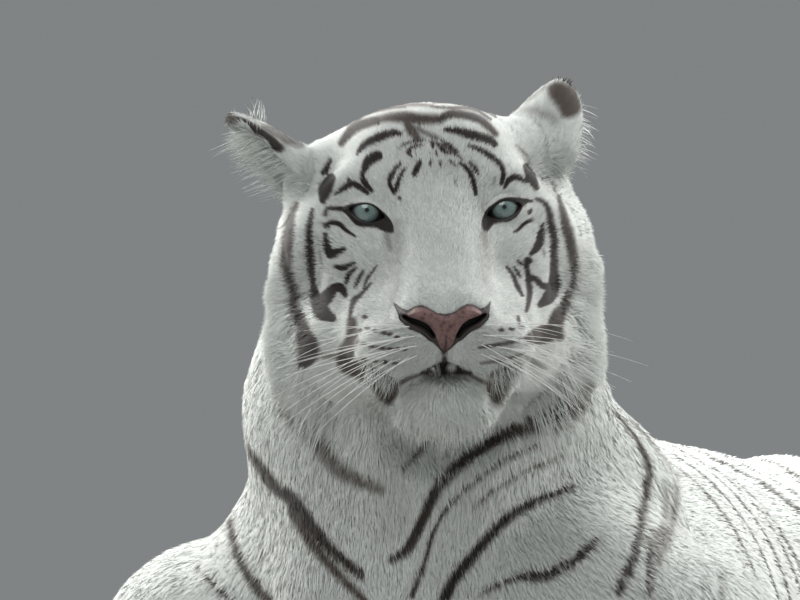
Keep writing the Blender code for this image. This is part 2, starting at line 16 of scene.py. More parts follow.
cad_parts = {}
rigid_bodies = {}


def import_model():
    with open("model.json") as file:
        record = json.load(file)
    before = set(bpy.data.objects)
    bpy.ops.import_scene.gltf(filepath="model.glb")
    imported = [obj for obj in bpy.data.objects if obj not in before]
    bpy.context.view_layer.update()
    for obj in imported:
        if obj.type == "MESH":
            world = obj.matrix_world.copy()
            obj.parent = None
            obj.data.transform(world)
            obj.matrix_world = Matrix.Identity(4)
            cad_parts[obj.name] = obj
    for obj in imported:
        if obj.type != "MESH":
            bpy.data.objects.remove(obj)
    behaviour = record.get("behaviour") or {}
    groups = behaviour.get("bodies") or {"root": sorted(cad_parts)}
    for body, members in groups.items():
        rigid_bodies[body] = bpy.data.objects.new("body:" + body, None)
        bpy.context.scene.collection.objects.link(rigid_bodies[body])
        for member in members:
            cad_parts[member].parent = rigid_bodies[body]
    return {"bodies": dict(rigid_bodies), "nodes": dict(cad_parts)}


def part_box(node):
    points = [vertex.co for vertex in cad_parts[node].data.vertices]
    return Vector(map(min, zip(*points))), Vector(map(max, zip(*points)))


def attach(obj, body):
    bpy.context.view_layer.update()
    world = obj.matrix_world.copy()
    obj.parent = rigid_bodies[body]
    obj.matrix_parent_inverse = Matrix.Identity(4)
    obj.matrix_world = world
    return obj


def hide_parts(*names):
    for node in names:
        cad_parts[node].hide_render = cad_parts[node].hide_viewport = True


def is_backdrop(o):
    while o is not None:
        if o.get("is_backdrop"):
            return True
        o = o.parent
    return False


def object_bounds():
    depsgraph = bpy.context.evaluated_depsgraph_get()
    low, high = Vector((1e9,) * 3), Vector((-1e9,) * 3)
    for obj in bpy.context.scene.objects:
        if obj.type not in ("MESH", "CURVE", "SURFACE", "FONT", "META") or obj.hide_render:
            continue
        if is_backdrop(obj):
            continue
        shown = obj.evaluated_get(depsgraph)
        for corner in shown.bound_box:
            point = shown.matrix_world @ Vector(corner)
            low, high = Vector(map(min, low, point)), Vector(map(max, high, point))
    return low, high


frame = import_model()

for leftover in set(bpy.data.objects) - set(frame["nodes"].values()) - set(frame["bodies"].values()):
    bpy.data.objects.remove(leftover)  # the cube, lamp and camera that a new file starts with
cad_low, cad_high = (Vector(corner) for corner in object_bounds())
print(len(frame["nodes"]), "solids, size in metres", [round(s, 3) for s in cad_high - cad_low])

# %% [markdown]
# ## Where the head is
# A face is easiest to shape in its own directions: x to its left, y behind it, z up from the line between the
# eyes. The two eyeballs of the solids fix that frame, so nothing has to be fitted by hand.

# %% The head's own frame, from the two eyes
EYE_SUNK = 0.019  # the eyeballs' centres lie this far behind the line between the pupils
FORM_EYE_LINE = np.array((0.091, -0.257, 0.690))  # where the shapes below have the middle of that line


def middle_of(node):
    low, high = (Vector(corner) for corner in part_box(node))
    return (low + high) / 2


def head_frame(left_eye, right_eye):
    across = (left_eye - right_eye).normalized()
    behind = Vector((0, 0, 1)).cross(across).normalized()
    above = across.cross(behind)
    turn = Matrix((across, behind, above)).transposed().to_4x4()
    return Matrix.Translation((left_eye + right_eye) / 2 - behind * EYE_SUNK) @ turn


EYES = {1: middle_of("eye_left"), -1: middle_of("eye_right")}
HEAD = head_frame(*EYES.values())
EYE_LINE = np.array(HEAD.translation)
EYE_APART = (EYES[1] - EYES[-1]).length
SIDE_NAMES = {1: "left", -1: "right"}
SHIFT = EYE_LINE - FORM_EYE_LINE
print("eyes", round(EYE_APART * 1000, 1), "mm apart at", [round(c, 3) for c in EYE_LINE])

# %% [markdown]
# ## The camera
# A long lens from 4.6 m flattens the face as in a portrait. The camera comes early, because the stripes of the
# face and chest are drawn as strokes on a plane square to this view, like chalk lines on a pane of glass, and
# are then dropped onto the body behind it.

# %% Camera, and the pane that strokes are drawn on
VIEW_AZIMUTH, VIEW_LIFT = math.radians(24.0), math.radians(2.0)
VIEW_DISTANCE = 4.6
PANE_WIDTH = 0.76  # what the view takes in at the eyes
AIM = (-0.0342, -0.0836)  # the view's middle, right of and above the eye line
SENSOR = 36.0

view_right = np.array((math.cos(VIEW_AZIMUTH), math.sin(VIEW_AZIMUTH), 0.0))
view_back = np.array((
    math.sin(VIEW_AZIMUTH) * math.cos(VIEW_LIFT),
    -math.cos(VIEW_AZIMUTH) * math.cos(VIEW_LIFT),
    math.sin(VIEW_LIFT),
))
view_up = np.cross(view_back, view_right)
view_from = EYE_LINE + AIM[0] * view_right + AIM[1] * view_up + VIEW_DISTANCE * view_back


def on_pane(points):
    """Millimetres right of and above the eye line, as seen from the camera."""
    away = points - view_from
    grow = VIEW_DISTANCE / -(away @ view_back)
    return np.stack([(away @ view_right) * grow + AIM[0], (away @ view_up) * grow + AIM[1]], 1) * 1000


def add_camera():
    bpy.ops.object.camera_add(location=view_from)
    camera = bpy.context.object
    camera.rotation_euler = Matrix((view_right, view_up, view_back)).transposed().to_euler()
    camera.data.sensor_width = SENSOR
    camera.data.lens = SENSOR * VIEW_DISTANCE / PANE_WIDTH
    bpy.context.scene.camera = camera
    return camera


camera = add_camera()
print("camera", [round(c, 3) for c in view_from], "lens", round(camera.data.lens, 1), "mm")

# %% [markdown]
# ## Small helpers
# Every operator acts on what is selected, and the solids still are after loading. So each step clears the
# selection and picks the one piece it works on.

# %% Picking a piece and applying its modifiers
def lengths(vectors):
    return np.linalg.norm(vectors, axis=1)


def unit(vectors):
    return vectors / (lengths(vectors)[:, None] + 1e-9)


def pick(ob):
    bpy.ops.object.select_all(action="DESELECT")
    ob.select_set(True)
    bpy.context.view_layer.objects.active = ob
    return ob


def apply_modifiers(ob):
    pick(ob)
    for modifier in list(ob.modifiers):
        bpy.ops.object.modifier_apply(modifier=modifier.name)
    return ob


def start_piece(name, add, **sizes):
    """Adds a primitive on its own and names it."""
    bpy.ops.object.select_all(action="DESELECT")
    add(**sizes)
    ob = bpy.context.object
    ob.name = ob.data.name = name
    return ob


def read(items, attribute, width=3, number=np.float32):
    """A row of numbers for each vertex, corner or face."""
    found = np.empty(len(items) * width, number)
    items.foreach_get(attribute, found)
    return found.reshape(-1, width)


def coordinates(mesh):
    return read(mesh.vertices, "co")


def move_to(mesh, place):
    mesh.vertices.foreach_set("co", np.ascontiguousarray(place, np.float32).reshape(-1))
    mesh.update()


def shade_smooth(ob):
    ob.data.polygons.foreach_set("use_smooth", np.ones(len(ob.data.polygons), bool))


def select_faces(mesh, chosen):
    """Leaves exactly the chosen faces selected, for the next step in edit mode."""
    mesh.vertices.foreach_set("select", np.zeros(len(mesh.vertices), bool))
    mesh.edges.foreach_set("select", np.zeros(len(mesh.edges), bool))
    mesh.polygons.foreach_set("select", np.ascontiguousarray(chosen, bool))
    mesh.update()


# %% [markdown]
# ## What each part of the coat is like
# A tiger's fur is a few millimetres deep on the muzzle and paws, and deepest in the ruff round the face. Each
# kind below has the depth of the coat over the skin, the length of a tuft, its width, and how many square
# millimetres there are to a tuft, all in millimetres.

# %% Kinds of coat
KINDS = {
    "face": (2.4, 7.0, 0.80, 0.88),
    "crown": (4.5, 8.5, 0.90, 1.00),
    "cheek": (5.0, 10.5, 0.90, 1.00),
    "ruff": (14.0, 32.0, 1.00, 0.48),
    "jaw": (5.5, 16.0, 0.95, 1.00),
    "neck": (5.0, 15.0, 1.15, 2.25),
    "breast": (5.5, 16.0, 1.20, 2.4),
    "trunk": (5.0, 16.0, 1.8, 7.4),
    "belly": (8.0, 24.0, 1.9, 7.8),
    "arm": (5.0, 15.0, 1.5, 5.2),
    "shin": (4.0, 12.0, 1.5, 5.6),
    "paw": (3.0, 8.0, 1.3, 3.4),
    "tail": (6.0, 16.0, 1.6, 5.6),
}
KIND_NUMBERS = {name: i for i, name in enumerate(KINDS)}
KIND_SIZES = np.array(list(KINDS.values()), np.float32)
print(len(KINDS), "kinds of coat, from", KIND_SIZES[:, 1].min(), "to", KIND_SIZES[:, 1].max(), "mm long")


# %% [markdown]
# ## The body as masses
# Sculptors block an animal in from balls and limbs before they smooth it. The masses below are the ones that
# the solids were cut from. Each melts into its neighbours over a distance k, and also knows its kind of coat
# and the way its hair lies.

# %% Masses and their distances
class Mass:
    """An ellipsoid about a, or a tapered limb from a to b, with its melting distance, coat and lie of hair."""

    def __init__(self, a, b, r, r2, k, kind, lie=None, turn=(0, 0, 0), head=False):
        self.a, self.r = np.array(a, np.float32), np.array(r, np.float32)
        self.b = None if b is None else np.array(b, np.float32)
        self.r2, self.k, self.kind, self.head = r2, k, KIND_NUMBERS[kind], head
        self.lie = None if lie is None else np.array(lie, np.float32)
        self.turn = np.array(Euler([math.radians(t) for t in turn]).to_matrix(), np.float32)
        if b is None:
            self.middle, self.size = self.a, float(self.r.max())
        else:
            self.middle = (self.a + self.b) / 2
            self.size = float(np.linalg.norm(self.b - self.a)) / 2 + max(float(self.r), r2)

    def distance(self, points):
        """Signed distance, negative inside."""
        if self.b is None:
            near = (points - self.a) @ self.turn / self.r
            scaled = np.sqrt((near * near).sum(1)) + 1e-9
            slope = np.sqrt((near * near / (self.r * self.r)).sum(1)) + 1e-9
            return scaled * (scaled - 1) / slope
        along = self.b - self.a
        share = np.clip((points - self.a) @ along / (along @ along), 0, 1)
        gap = points - self.a - share[:, None] * along
        return np.sqrt((gap * gap).sum(1)) - (float(self.r) + (self.r2 - float(self.r)) * share)


def ball(centre, radii, kind, lie, k=0.05, turn=(0, 0, 0)):
    return Mass(np.array(centre) + SHIFT, None, radii, 0.0, k, kind, lie, turn)


def limb(start, end, r, r2, kind, lie=None, k=0.05):
    start, end = np.array(start) + SHIFT, np.array(end) + SHIFT
    return Mass(start, end, r, r2, k, kind, end - start if lie is None else lie)


def face_point(x, depth, z):
    """A point on the head in millimetres: to its left, forward and up from the eye line."""
    return (x / 1000, -depth / 1000, z / 1000)


def face_ball(centre, radii, kind="face", k=0.03, lie=None):
    return Mass(face_point(*centre), None, np.array(radii) / 1000, 0.0, k, kind, lie, head=True)


def face_limb(start, end, r, r2, kind="face", k=0.03, lie=None):
    return Mass(face_point(*start), face_point(*end), r / 1000, r2 / 1000, k, kind, lie, head=True)


# %% Trunk and neck
BACKWARD, FLANK, DOWN = (0, 1, -0.05), (0, 0.85, -0.5), (0, 0.15, -1)


def trunk_masses():
    return [
        ball((0, 0.27, 0.224), (0.222, 0.42, 0.228), "trunk", FLANK),  # ribs
        ball((0, 0.05, 0.385), (0.125, 0.20, 0.108), "trunk", BACKWARD),  # withers
        ball((-0.005, -0.045, 0.225), (0.190, 0.150, 0.222), "breast", DOWN),
        ball((0, -0.02, 0.085), (0.150, 0.150, 0.085), "breast", (0, 0.6, -0.8)),  # brisket
        ball((0, 0.56, 0.205), (0.200, 0.30, 0.200), "belly", FLANK),  # loin
        ball((0, 0.70, 0.186), (0.222, 0.32, 0.195), "belly", FLANK),
        ball((0, 0.97, 0.212), (0.165, 0.22, 0.165), "trunk", FLANK),  # pelvis
        limb((0, 0.16, 0.412), (0, 1.06, 0.308), 0.045, 0.042, "trunk"),  # back
    ]


def neck_masses():
    return [
        limb((-0.020, -0.005, 0.375), (-0.012, -0.055, 0.475), 0.189, 0.174, "neck", (0, 0.25, -1)),
        limb((-0.002, -0.060, 0.51), (0.014, -0.100, 0.65), 0.169, 0.130, "neck", (0, 0.25, -1)),
        limb((0.040, -0.175, 0.500), (-0.005, -0.125, 0.32), 0.082, 0.115, "breast", DOWN, 0.06),  # throat
        limb((0, 0.17, 0.425), (0, 0.00, 0.655), 0.080, 0.060, "neck", (0, 0.7, -0.7), 0.06),  # nape
    ]


# %% Legs
FORELEGS = {
    -1: ((-0.146, -0.055, 0.300), (-0.325, -0.005, 0.094), (-0.262, -0.345, 0.058), (-0.245, -0.440, 0.040)),
    1: ((0.160, -0.060, 0.315), (0.290, 0.020, 0.092), (0.235, -0.310, 0.058), (0.212, -0.405, 0.040)),
}  # shoulder, elbow, wrist and paw of the right and the left foreleg


def toes(foot, ahead, heading, spread, reach, radii):
    """Four toes side by side, the middle two further forward."""
    across = np.array([-ahead[1], ahead[0], 0.0])
    made = []
    for place in (-1.5, -0.5, 0.5, 1.5):
        forward = reach if abs(place) < 1 else reach - 0.016
        centre = foot + ahead * forward + across * place * spread
        made.append(ball((centre[0], centre[1], radii[2] - 0.002), radii, "paw", ahead, 0.008, (0, 0, heading)))
    return made


def foreleg_masses(side):
    """The shoulder and upper arm come down to the elbow, and the forearm lies on the floor."""
    shoulder, elbow, wrist, paw = (np.array(point) for point in FORELEGS[side])
    ahead = (paw - wrist) / np.linalg.norm(paw - wrist)
    heading = math.degrees(math.atan2(ahead[0], -ahead[1]))
    turn, forearm = (0, 0, heading), wrist - elbow
    return [
        ball((side * 0.143, 0.055, 0.338), (0.078, 0.125, 0.150), "arm", (0, 0.3, -1), turn=(18, 0, 0)),
        limb(shoulder, shoulder * 0.4 + elbow * 0.6, 0.100, 0.102, "arm"),
        limb(shoulder * 0.5 + elbow * 0.5, elbow, 0.104, 0.086, "arm", k=0.04),
        ball(shoulder * 0.3 + elbow * 0.7 + (side * 0.006, 0.012, 0.056), (0.100, 0.145, 0.125),
             "arm", (0, 0, -1), 0.08),
        limb(elbow, wrist, 0.084, 0.057, "shin", k=0.03),
        ball(elbow * 0.66 + wrist * 0.34 + (0, 0, 0.004), (0.078, 0.125, 0.074), "shin", forearm, 0.04, turn),
        ball(wrist * 0.25 + paw * 0.75, (0.066, 0.088, 0.049), "paw", ahead, 0.03, turn),
    ] + toes(paw, ahead, heading, 0.034, 0.056, (0.0212, 0.042, 0.033))


def hindleg_masses(side):
    """The folded hind leg: thigh forward to the knee, shank back to the hock, foot forward."""
    hip, knee = np.array((side * 0.135, 1.00, 0.226)), np.array((side * 0.262, 0.70, 0.190))
    hock, sole = np.array((side * 0.275, 1.07, 0.062)), np.array((side * 0.305, 0.79, 0.048))
    foot, forward = np.array((side * 0.312, 0.727, 0.038)), np.array((0.0, -1.0, 0.0))
    return [
        limb(hip, knee, 0.142, 0.082, "trunk", (0, 0.3, -1)),
        ball((side * 0.188, 0.93, 0.202), (0.110, 0.225, 0.168), "trunk", (0, 0.5, -0.9)),
        limb(knee, hock, 0.082, 0.048, "shin"),
        limb(hock, sole, 0.048, 0.044, "paw", k=0.03),
        ball((foot[0], foot[1] + 0.008, 0.038), (0.057, 0.082, 0.045), "paw", forward, 0.03),
    ] + toes(foot, forward, 0, 0.0287, 0.066, (0.0182, 0.038, 0.030))


# %% Tail
TAIL_ROUTE = [
    (0, 1.10, 0.255), (0, 1.22, 0.18), (0.012, 1.31, 0.090), (0.065, 1.375, 0.043),
    (0.165, 1.405, 0.0306), (0.285, 1.375, 0.0292), (0.385, 1.285, 0.0281), (0.440, 1.160, 0.0270),
    (0.455, 1.030, 0.0260), (0.440, 0.920, 0.0250),
]  # from the rump down to the floor and forward along the left flank


def smooth_route(points, steps):
    """Points along a Catmull-Rom curve through the given ones, of any dimension."""
    p = [np.array(q, float) for q in points]
    p = [2 * p[0] - p[1]] + p + [2 * p[-1] - p[-2]]
    route = []
    for before, start, end, after in zip(p, p[1:], p[2:], p[3:]):
        for i in range(steps):
            t = i / steps
            route.append(0.5 * (
                2 * start + (end - before) * t
                + (2 * before - 5 * start + 4 * end - after) * t ** 2
                + (3 * start - before - 3 * end + after) * t ** 3
            ))
    return route + [p[-2]]


def tail_masses():
    route = smooth_route(TAIL_ROUTE, 3)
    last = len(route) - 1

    def radius(i):
        return 0.036 + 0.034 * math.exp(-i / 3) - 0.009 * i / last

    return [limb(route[i], route[i + 1], radius(i), radius(i + 1), "tail", k=0.008 if i else 0.05)
            for i in range(last)]


# %% Head
def head_masses():
    middle = [
        face_ball((0, -92, 10), (98, 92, 84), "crown", 0.02),  # cranium
        face_ball((0, -82, 60), (90, 66, 41), "crown"),
        face_ball((0, -46, 28), (84, 38, 38), "crown"),  # brow
        face_ball((0, -40, 52), (58, 34, 40), "crown"),  # forehead
        face_ball((0, 40, -108), (68, 52, 42)),  # muzzle
        face_ball((0, 88, -104), (39, 24, 24), k=0.012),  # tip of the nose
        face_ball((0, 44, -174), (50, 40, 34), "jaw", 0.02),  # chin
        face_ball((0, -5, -165), (66, 60, 34), "jaw"),  # under the jaw
        face_ball((98, -98, 50), (37, 38, 38), "cheek"),  # root of the left ear
        face_ball((-97, -98, 32), (40, 38, 38), "cheek"),  # root of the right ear
        face_ball((92, -98, -72), (76, 58, 116), "ruff"),
        face_ball((90, -98, -140), (78, 54, 64), "ruff"),  # foot of the ruff
        face_ball((-88, -98, -75), (69, 58, 113), "ruff"),
        face_ball((-86, -98, -139), (72, 54, 63), "ruff"),
    ]
    for side in (1, -1):
        middle += [
            face_limb((side * 16, -12, -12), (side * 15, 80, -96), 31.0, 28.5),  # bridge
            face_ball((side * 58, -30, 24), (40, 26, 22), k=0.02),  # brow over the eye
            face_ball((side * 84, -52, -28), (56, 50, 48), "cheek"),  # cheekbone
            face_ball((side * 58, -8, -66), (46, 30, 46)),  # cheek
            face_ball((side * 50, 18, -112), (42, 44, 42)),  # side of the muzzle
            face_ball((side * 74, -44, -118), (52, 50, 52), "cheek"),  # jowl
            face_limb((0, 26, -164), (side * 74, -84, -124), 38, 52, "jaw"),
            face_ball((side * 43, 64, -125), (42, 44, 31), k=0.012),  # whisker pad
            face_ball((side * EYE_APART * 500, -EYE_SUNK * 1000, 0), (24.5, 23.5, 23.5), k=0.012),  # lids
        ]
    return middle


MASSES = trunk_masses() + neck_masses()
for side in FORELEGS:
    MASSES += foreleg_masses(side) + hindleg_masses(side)
MASSES += tail_masses() + head_masses()
print(len(MASSES), "masses")

# %% [markdown]
# ## One field for the whole body
# Melting the masses together gives a number at every point of space, its distance to the blended surface.
# The same masses also tell what the coat is like there and which way it lies.

# %% Distance to the body, and the coat at a point
TO_HEAD = np.array(HEAD.inverted(), np.float32)
HEAD_TURN = np.array(HEAD.to_3x3(), np.float32)
NOSE_TIP = np.array(face_point(0, 100, -98), np.float32)  # the hair of the face parts from here
MOUTH_CARVES = []  # filled in when the lips are carved


def in_head(points):
    return points @ TO_HEAD[:3, :3].T + TO_HEAD[:3, 3]


def melted(one, other, k):
    """The smaller of two distances, run together where they are nearer each other than k."""
    blend = np.maximum(k - np.abs(one - other), 0) / k
    return np.minimum(one, other) - blend * blend * k / 4


def out_of_head(on_head):
    return on_head @ HEAD_TURN.T + EYE_LINE


def field(points):
    """Signed distance to the blended body. Each mass is worked out only near its own surface."""
    points = points.astype(np.float32)
    on_head = in_head(points)
    found = np.full(len(points), 0.5, np.float32)
    for mass in MASSES:
        seen = on_head if mass.head else points
        from_middle = np.sqrt(((seen - mass.middle) ** 2).sum(1))
        near = from_middle - mass.size < found + mass.k
        if not near.any():
            continue
        found[near] = melted(found[near], mass.distance(seen[near]), mass.k)
    for mass in MOUTH_CARVES:
        near = np.sqrt(((on_head - mass.middle) ** 2).sum(1)) < mass.size + 0.02
        if near.any():
            found[near] = -melted(-found[near], mass.distance(on_head[near]), mass.k)
    return found


def face_lie(on_head, kind):
    """Hair parts at the nose and runs out over the face, and in the ruff it also falls back and down."""
    away = unit(on_head - NOSE_TIP)
    if kind == KIND_NUMBERS["ruff"]:
        side = np.sign(on_head[:, 0])[:, None]
        return away * 0.8 + side * np.array((0.30, 0, 0)) + np.array((0, 0.30, -0.55))
    if kind == KIND_NUMBERS["cheek"]:
        return away + np.array((0, 0.15, -0.20))
    return away


def coat_at(points):
    """At each point the coat's depth, tuft length, width and spacing (mm), its lie and the kinds' weights."""
    points = points.astype(np.float32)
    on_head = in_head(points)
    weights = np.zeros((len(points), len(KINDS)), np.float32)
    lie = np.zeros((len(points), 3), np.float32)
    for mass in MASSES:
        seen = on_head if mass.head else points
        near = np.sqrt(((seen - mass.middle) ** 2).sum(1)) < mass.size + 0.06
        if not near.any():
            continue
        weight = np.exp(-np.maximum(mass.distance(seen[near]), 0) / 0.010)
        weights[near, mass.kind] += weight
        if mass.head:
            way = (face_lie(on_head[near], mass.kind) if mass.lie is None else mass.lie) @ HEAD_TURN.T
        else:
            way = mass.lie / np.linalg.norm(mass.lie)
        lie[near] += weight[:, None] * way
    weights /= weights.sum(1)[:, None] + 1e-9
    return weights @ KIND_SIZES, lie, weights


def share_of(kinds, *names):
    """How much of the coat at each point is of the named kinds, from 0 to 1."""
    return kinds[:, [KIND_NUMBERS[name] for name in names]].sum(1)


# %% [markdown]
# ## The skin
# The skin is the same body drawn in by the coat's depth. Balls and chains of balls stand for the masses, a
# voxel remesh runs them into one closed mesh, and each point is then slid along the field until it lies on the
# skin. The head gets finer faces where its features are.

# %% Balls for the masses, run together
SKIN_VOXEL = 0.0115


def add_ball(base, centre, radii, turn=Euler((0, 0, 0))):
    """Adds one ball to the mesh that is being edited."""
    whole = base @ Matrix.Translation(centre) @ turn.to_matrix().to_4x4()
    bpy.ops.mesh.primitive_ico_sphere_add(
        subdivisions=3, radius=1, location=whole.translation, rotation=whole.to_euler(), scale=radii)


def block_in(masses):
    """One mesh object of overlapping balls for a list of masses."""
    first = Vector(masses[0].middle)
    block = start_piece("block", bpy.ops.mesh.primitive_ico_sphere_add, radius=0.01,
                        location=HEAD @ first if masses[0].head else first)
    bpy.ops.object.transform_apply(location=True, rotation=True, scale=True)
    bpy.ops.object.mode_set(mode="EDIT")
    for mass in masses:
        base = HEAD if mass.head else Matrix.Identity(4)
        if mass.b is None:
            add_ball(base, mass.a.tolist(), mass.r.tolist(), Matrix(mass.turn.tolist()).to_euler())
            continue
        steps = max(2, int(np.linalg.norm(mass.b - mass.a) / (0.5 * min(float(mass.r), mass.r2))))
        for i in range(steps + 1):
            radius = float(mass.r) + (mass.r2 - float(mass.r)) * i / steps
            add_ball(base, (mass.a + (mass.b - mass.a) * (i / steps)).tolist(), (radius,) * 3)
    bpy.ops.object.mode_set(mode="OBJECT")
    return block


def start_skin():
    blocks = [block_in(MASSES[i:i + 10]) for i in range(0, len(MASSES), 10)]
    for block in blocks:
        block.select_set(True)
    bpy.ops.object.join()
    skin = bpy.context.object
    skin.name = skin.data.name = "skin"
    remesh = skin.modifiers.new("run together", "REMESH")
    remesh.mode = "VOXEL"
    remesh.voxel_size = SKIN_VOXEL
    return apply_modifiers(skin)


skin = start_skin()
print("skin starts with", len(skin.data.polygons), "faces")

# %% Sliding the skin onto its place
CORNERS = np.array([(1, -1, -1), (-1, -1, 1), (-1, 1, -1), (1, 1, 1)], np.float32)


def settle(place, depth, rounds=2, step=0.0008):
    """Moves points along the field's own slope until they are the given depth inside the body."""
    for _ in range(rounds):
        samples = [field(place + corner * step) for corner in CORNERS]
        slope = sum(s[:, None] * c for s, c in zip(samples, CORNERS)) / (4 * step)
        steep = np.maximum((slope * slope).sum(1), 0.25)
        off = np.clip(sum(samples) / 4 + depth, -0.02, 0.02)
        place = place - slope * (off / steep)[:, None]
    return place


def settle_skin(rounds):
    """The coat is pressed flat where the animal lies on it, and nothing goes through the floor."""
    place = coordinates(skin.data)
    depth = coat_at(place)[0][:, 0] / 1000 * np.clip((place[:, 2] - 0.005) / 0.05, 0.15, 1)
    place = settle(place, depth, rounds)
    place[:, 2] = np.maximum(place[:, 2], 0.0012)
    move_to(skin.data, place)


def split_faces(centre, reach):
    """Splits in four each face of the skin within reach of a point of the head."""
    away = lengths(in_head(read(skin.data.polygons, "center")) - face_point(*centre))
    pick(skin)
    select_faces(skin.data, away < reach)
    bpy.ops.object.mode_set(mode="EDIT")
    bpy.ops.mesh.select_mode(type="FACE")
    bpy.ops.mesh.subdivide(number_cuts=1)
    bpy.ops.object.mode_set(mode="OBJECT")


settle_skin(3)
split_faces((0, -30, -50), 0.21)
settle_skin(1)
print("skin now has", len(skin.data.polygons), "faces")

# %% [markdown]
# ## Lips and chin
# The mouth is closed, and shows as a dark seam: a groove down from the nose, a small dark gap under it, and a
# line that runs out and down below each whisker pad. The seam is drawn on the pane, dropped onto the face, and
# cut in as a chain of thin limbs.

# %% Dropping drawn points onto the body
def drop_on_body(strokes, depth=0.0, start=VIEW_DISTANCE - 0.35):
    """Walks from the camera through each point of the pane, in millimetres, until it is that deep inside."""
    pane = np.array(strokes, float) / 1000 - np.array(AIM)
    way = pane[:, :1] * view_right + pane[:, 1:] * view_up - VIEW_DISTANCE * view_back
    way /= lengths(way)[:, None]
    gone = np.full(len(way), start)
    for _ in range(40):
        gone += np.clip(field(view_from + way * gone[:, None]) + depth, -0.01, 0.05) * 0.8
    return view_from + way * gone[:, None]


MOUTH_SEAM = {
    "philtrum": ([(8.2, -131), (8.2, -136), (8.2, -141), (8.2, -146)], 1.5, 0.004),
    "gap": ([(1, -150), (8.2, -148), (15, -150)], 2.2, 0.006),
    "right": ([(4, -147), (-8, -152), (-23, -158), (-38, -166), (-46, -174)], 2.4, 0.005),
    "left": ([(12, -147), (24, -151), (37, -157), (50, -163), (58, -171)], 2.4, 0.005),
    "right corner": ([(-60, -152), (-52, -158), (-48, -165), (-48, -175), (-44, -185)], 6.0, 0.012),
    "left corner": ([(74, -152), (66, -158), (59, -164), (57, -174), (60, -183)], 6.0, 0.012),
    "under the chin": ([(-50, -192), (-42, -203), (-26, -213), (8, -219), (40, -211), (54, -201), (62, -190)],
                       12.0, 0.018),
}  # points on the pane, radius and melting distance


def carve_mouth():
    for points, radius, melt in MOUTH_SEAM.values():
        route = in_head(drop_on_body(smooth_route(points, 3), 0.001))
        r = radius / 1000
        for start, end in zip(route, route[1:]):
            MOUTH_CARVES.append(Mass(start, end, r, r, melt, "jaw", head=True))


carve_mouth()
split_faces((0, 30, -80), 0.125)
settle_skin(2)
for middle, reach in (((0, 70, -130), 0.075), ((65, 0, 0), 0.030), ((-65, 0, 0), 0.030)):
    split_faces(middle, reach)
settle_skin(2)
print(len(MOUTH_CARVES), "cuts for the mouth; skin has", len(skin.data.polygons), "faces")

# %% [markdown]
# ## Ears
# A tiger's ear is a round cup of thin skin, wound nearly into a tube at its root. Each starts as a flat grid,
# which is bent into the cup, given a wall by Solidify, smoothed by Subdivision and joined to the head by a
# Boolean, so that no seam is left. Both ears are turned half back, so their dark backs show from the front.

# %% Ear cups, joined to the head
EARS = {
    "right": ((-126, -96, 39), (-0.79, 0.05, 0.60), (-0.57, 0.25, -0.72), 0.104, 0.070, 0.036),
    "left": ((104, -100, 57), (0.46, -0.42, 0.78), (0.58, -0.70, -0.40), 0.096, 0.090, 0.036),
}  # root, axis and opening direction (to its left, forward, up), then length, width and depth of the cup
EAR_WALL = 0.0042
EAR_SUNK = 0.18  # the share of its length that is buried in the head
EAR_COLUMNS, EAR_ROWS = 22, 20


def ear_axes(root, axis, opening):
    rise = Vector(face_point(*axis)).normalized()
    mouth = Vector(face_point(*opening))
    mouth = (mouth - rise * mouth.dot(rise)).normalized()
    return np.array(face_point(*root)), np.array(rise), np.array(mouth)


def add_wall(ob, thickness, offset):
    wall = ob.modifiers.new("wall", "SOLIDIFY")
    wall.thickness, wall.offset = thickness, offset


def ear_cup(name, root, axis, opening, length, width, depth):
    foot, rise, mouth = ear_axes(root, axis, opening)
    side = np.cross(rise, mouth)
    ear = start_piece(name, bpy.ops.mesh.primitive_grid_add, x_subdivisions=EAR_COLUMNS,
                      y_subdivisions=EAR_ROWS, size=2)
    flat = coordinates(ear.data)
    up, turn = (flat[:, 1] + 1) / 2, flat[:, 0]
    half = width / 2 * np.minimum(1, 0.8 + up) * (1 - 0.97 * up ** 2.4) ** 0.62
    wound = np.radians(92 - 32 * up)
    reach = np.sin(np.minimum(wound, math.pi / 2))
    angle = turn * wound
    back = depth * (0.35 + 0.65 * half / (width / 2)) * (np.cos(angle) - 0.4)
    place = foot + np.outer(length * (up - EAR_SUNK) - EAR_WALL * up, rise)
    place += np.outer(half * np.sin(angle) / reach, side) - np.outer(back, mouth)
    move_to(ear.data, out_of_head(place))
    add_wall(ear, EAR_WALL, 0)
    smooth = ear.modifiers.new("smooth", "SUBSURF")
    smooth.levels = smooth.render_levels = 1
    return apply_modifiers(ear)


def face_outwards(ob):
    pick(ob)
    bpy.ops.object.mode_set(mode="EDIT")
    bpy.ops.mesh.select_all(action="SELECT")
    bpy.ops.mesh.normals_make_consistent(inside=False)
    bpy.ops.object.mode_set(mode="OBJECT")


def combine(ob, other, operation):
    boolean = ob.modifiers.new(operation.lower(), "BOOLEAN")
    boolean.operation, boolean.object, boolean.solver = operation, other, "MANIFOLD"
    apply_modifiers(ob)
    bpy.data.objects.remove(other)


for side, sizes in EARS.items():
    ear = ear_cup("ear " + side, *sizes)
    face_outwards(ear)
    combine(skin, ear, "UNION")
print("skin with ears has", len(skin.data.polygons), "faces")

# %% [markdown]
# ## Openings for the eyes
# The lids are part of the skin. An almond-shaped bar is cut out of it in front of each eyeball, with the outer
# corner higher than the inner one.

# %% Cutting the lids open
EYE_RADIUS = 0.0195
OPENING = (0.0350, 0.0195)  # width and height between the lids
OPENING_SLANT = math.radians(16)


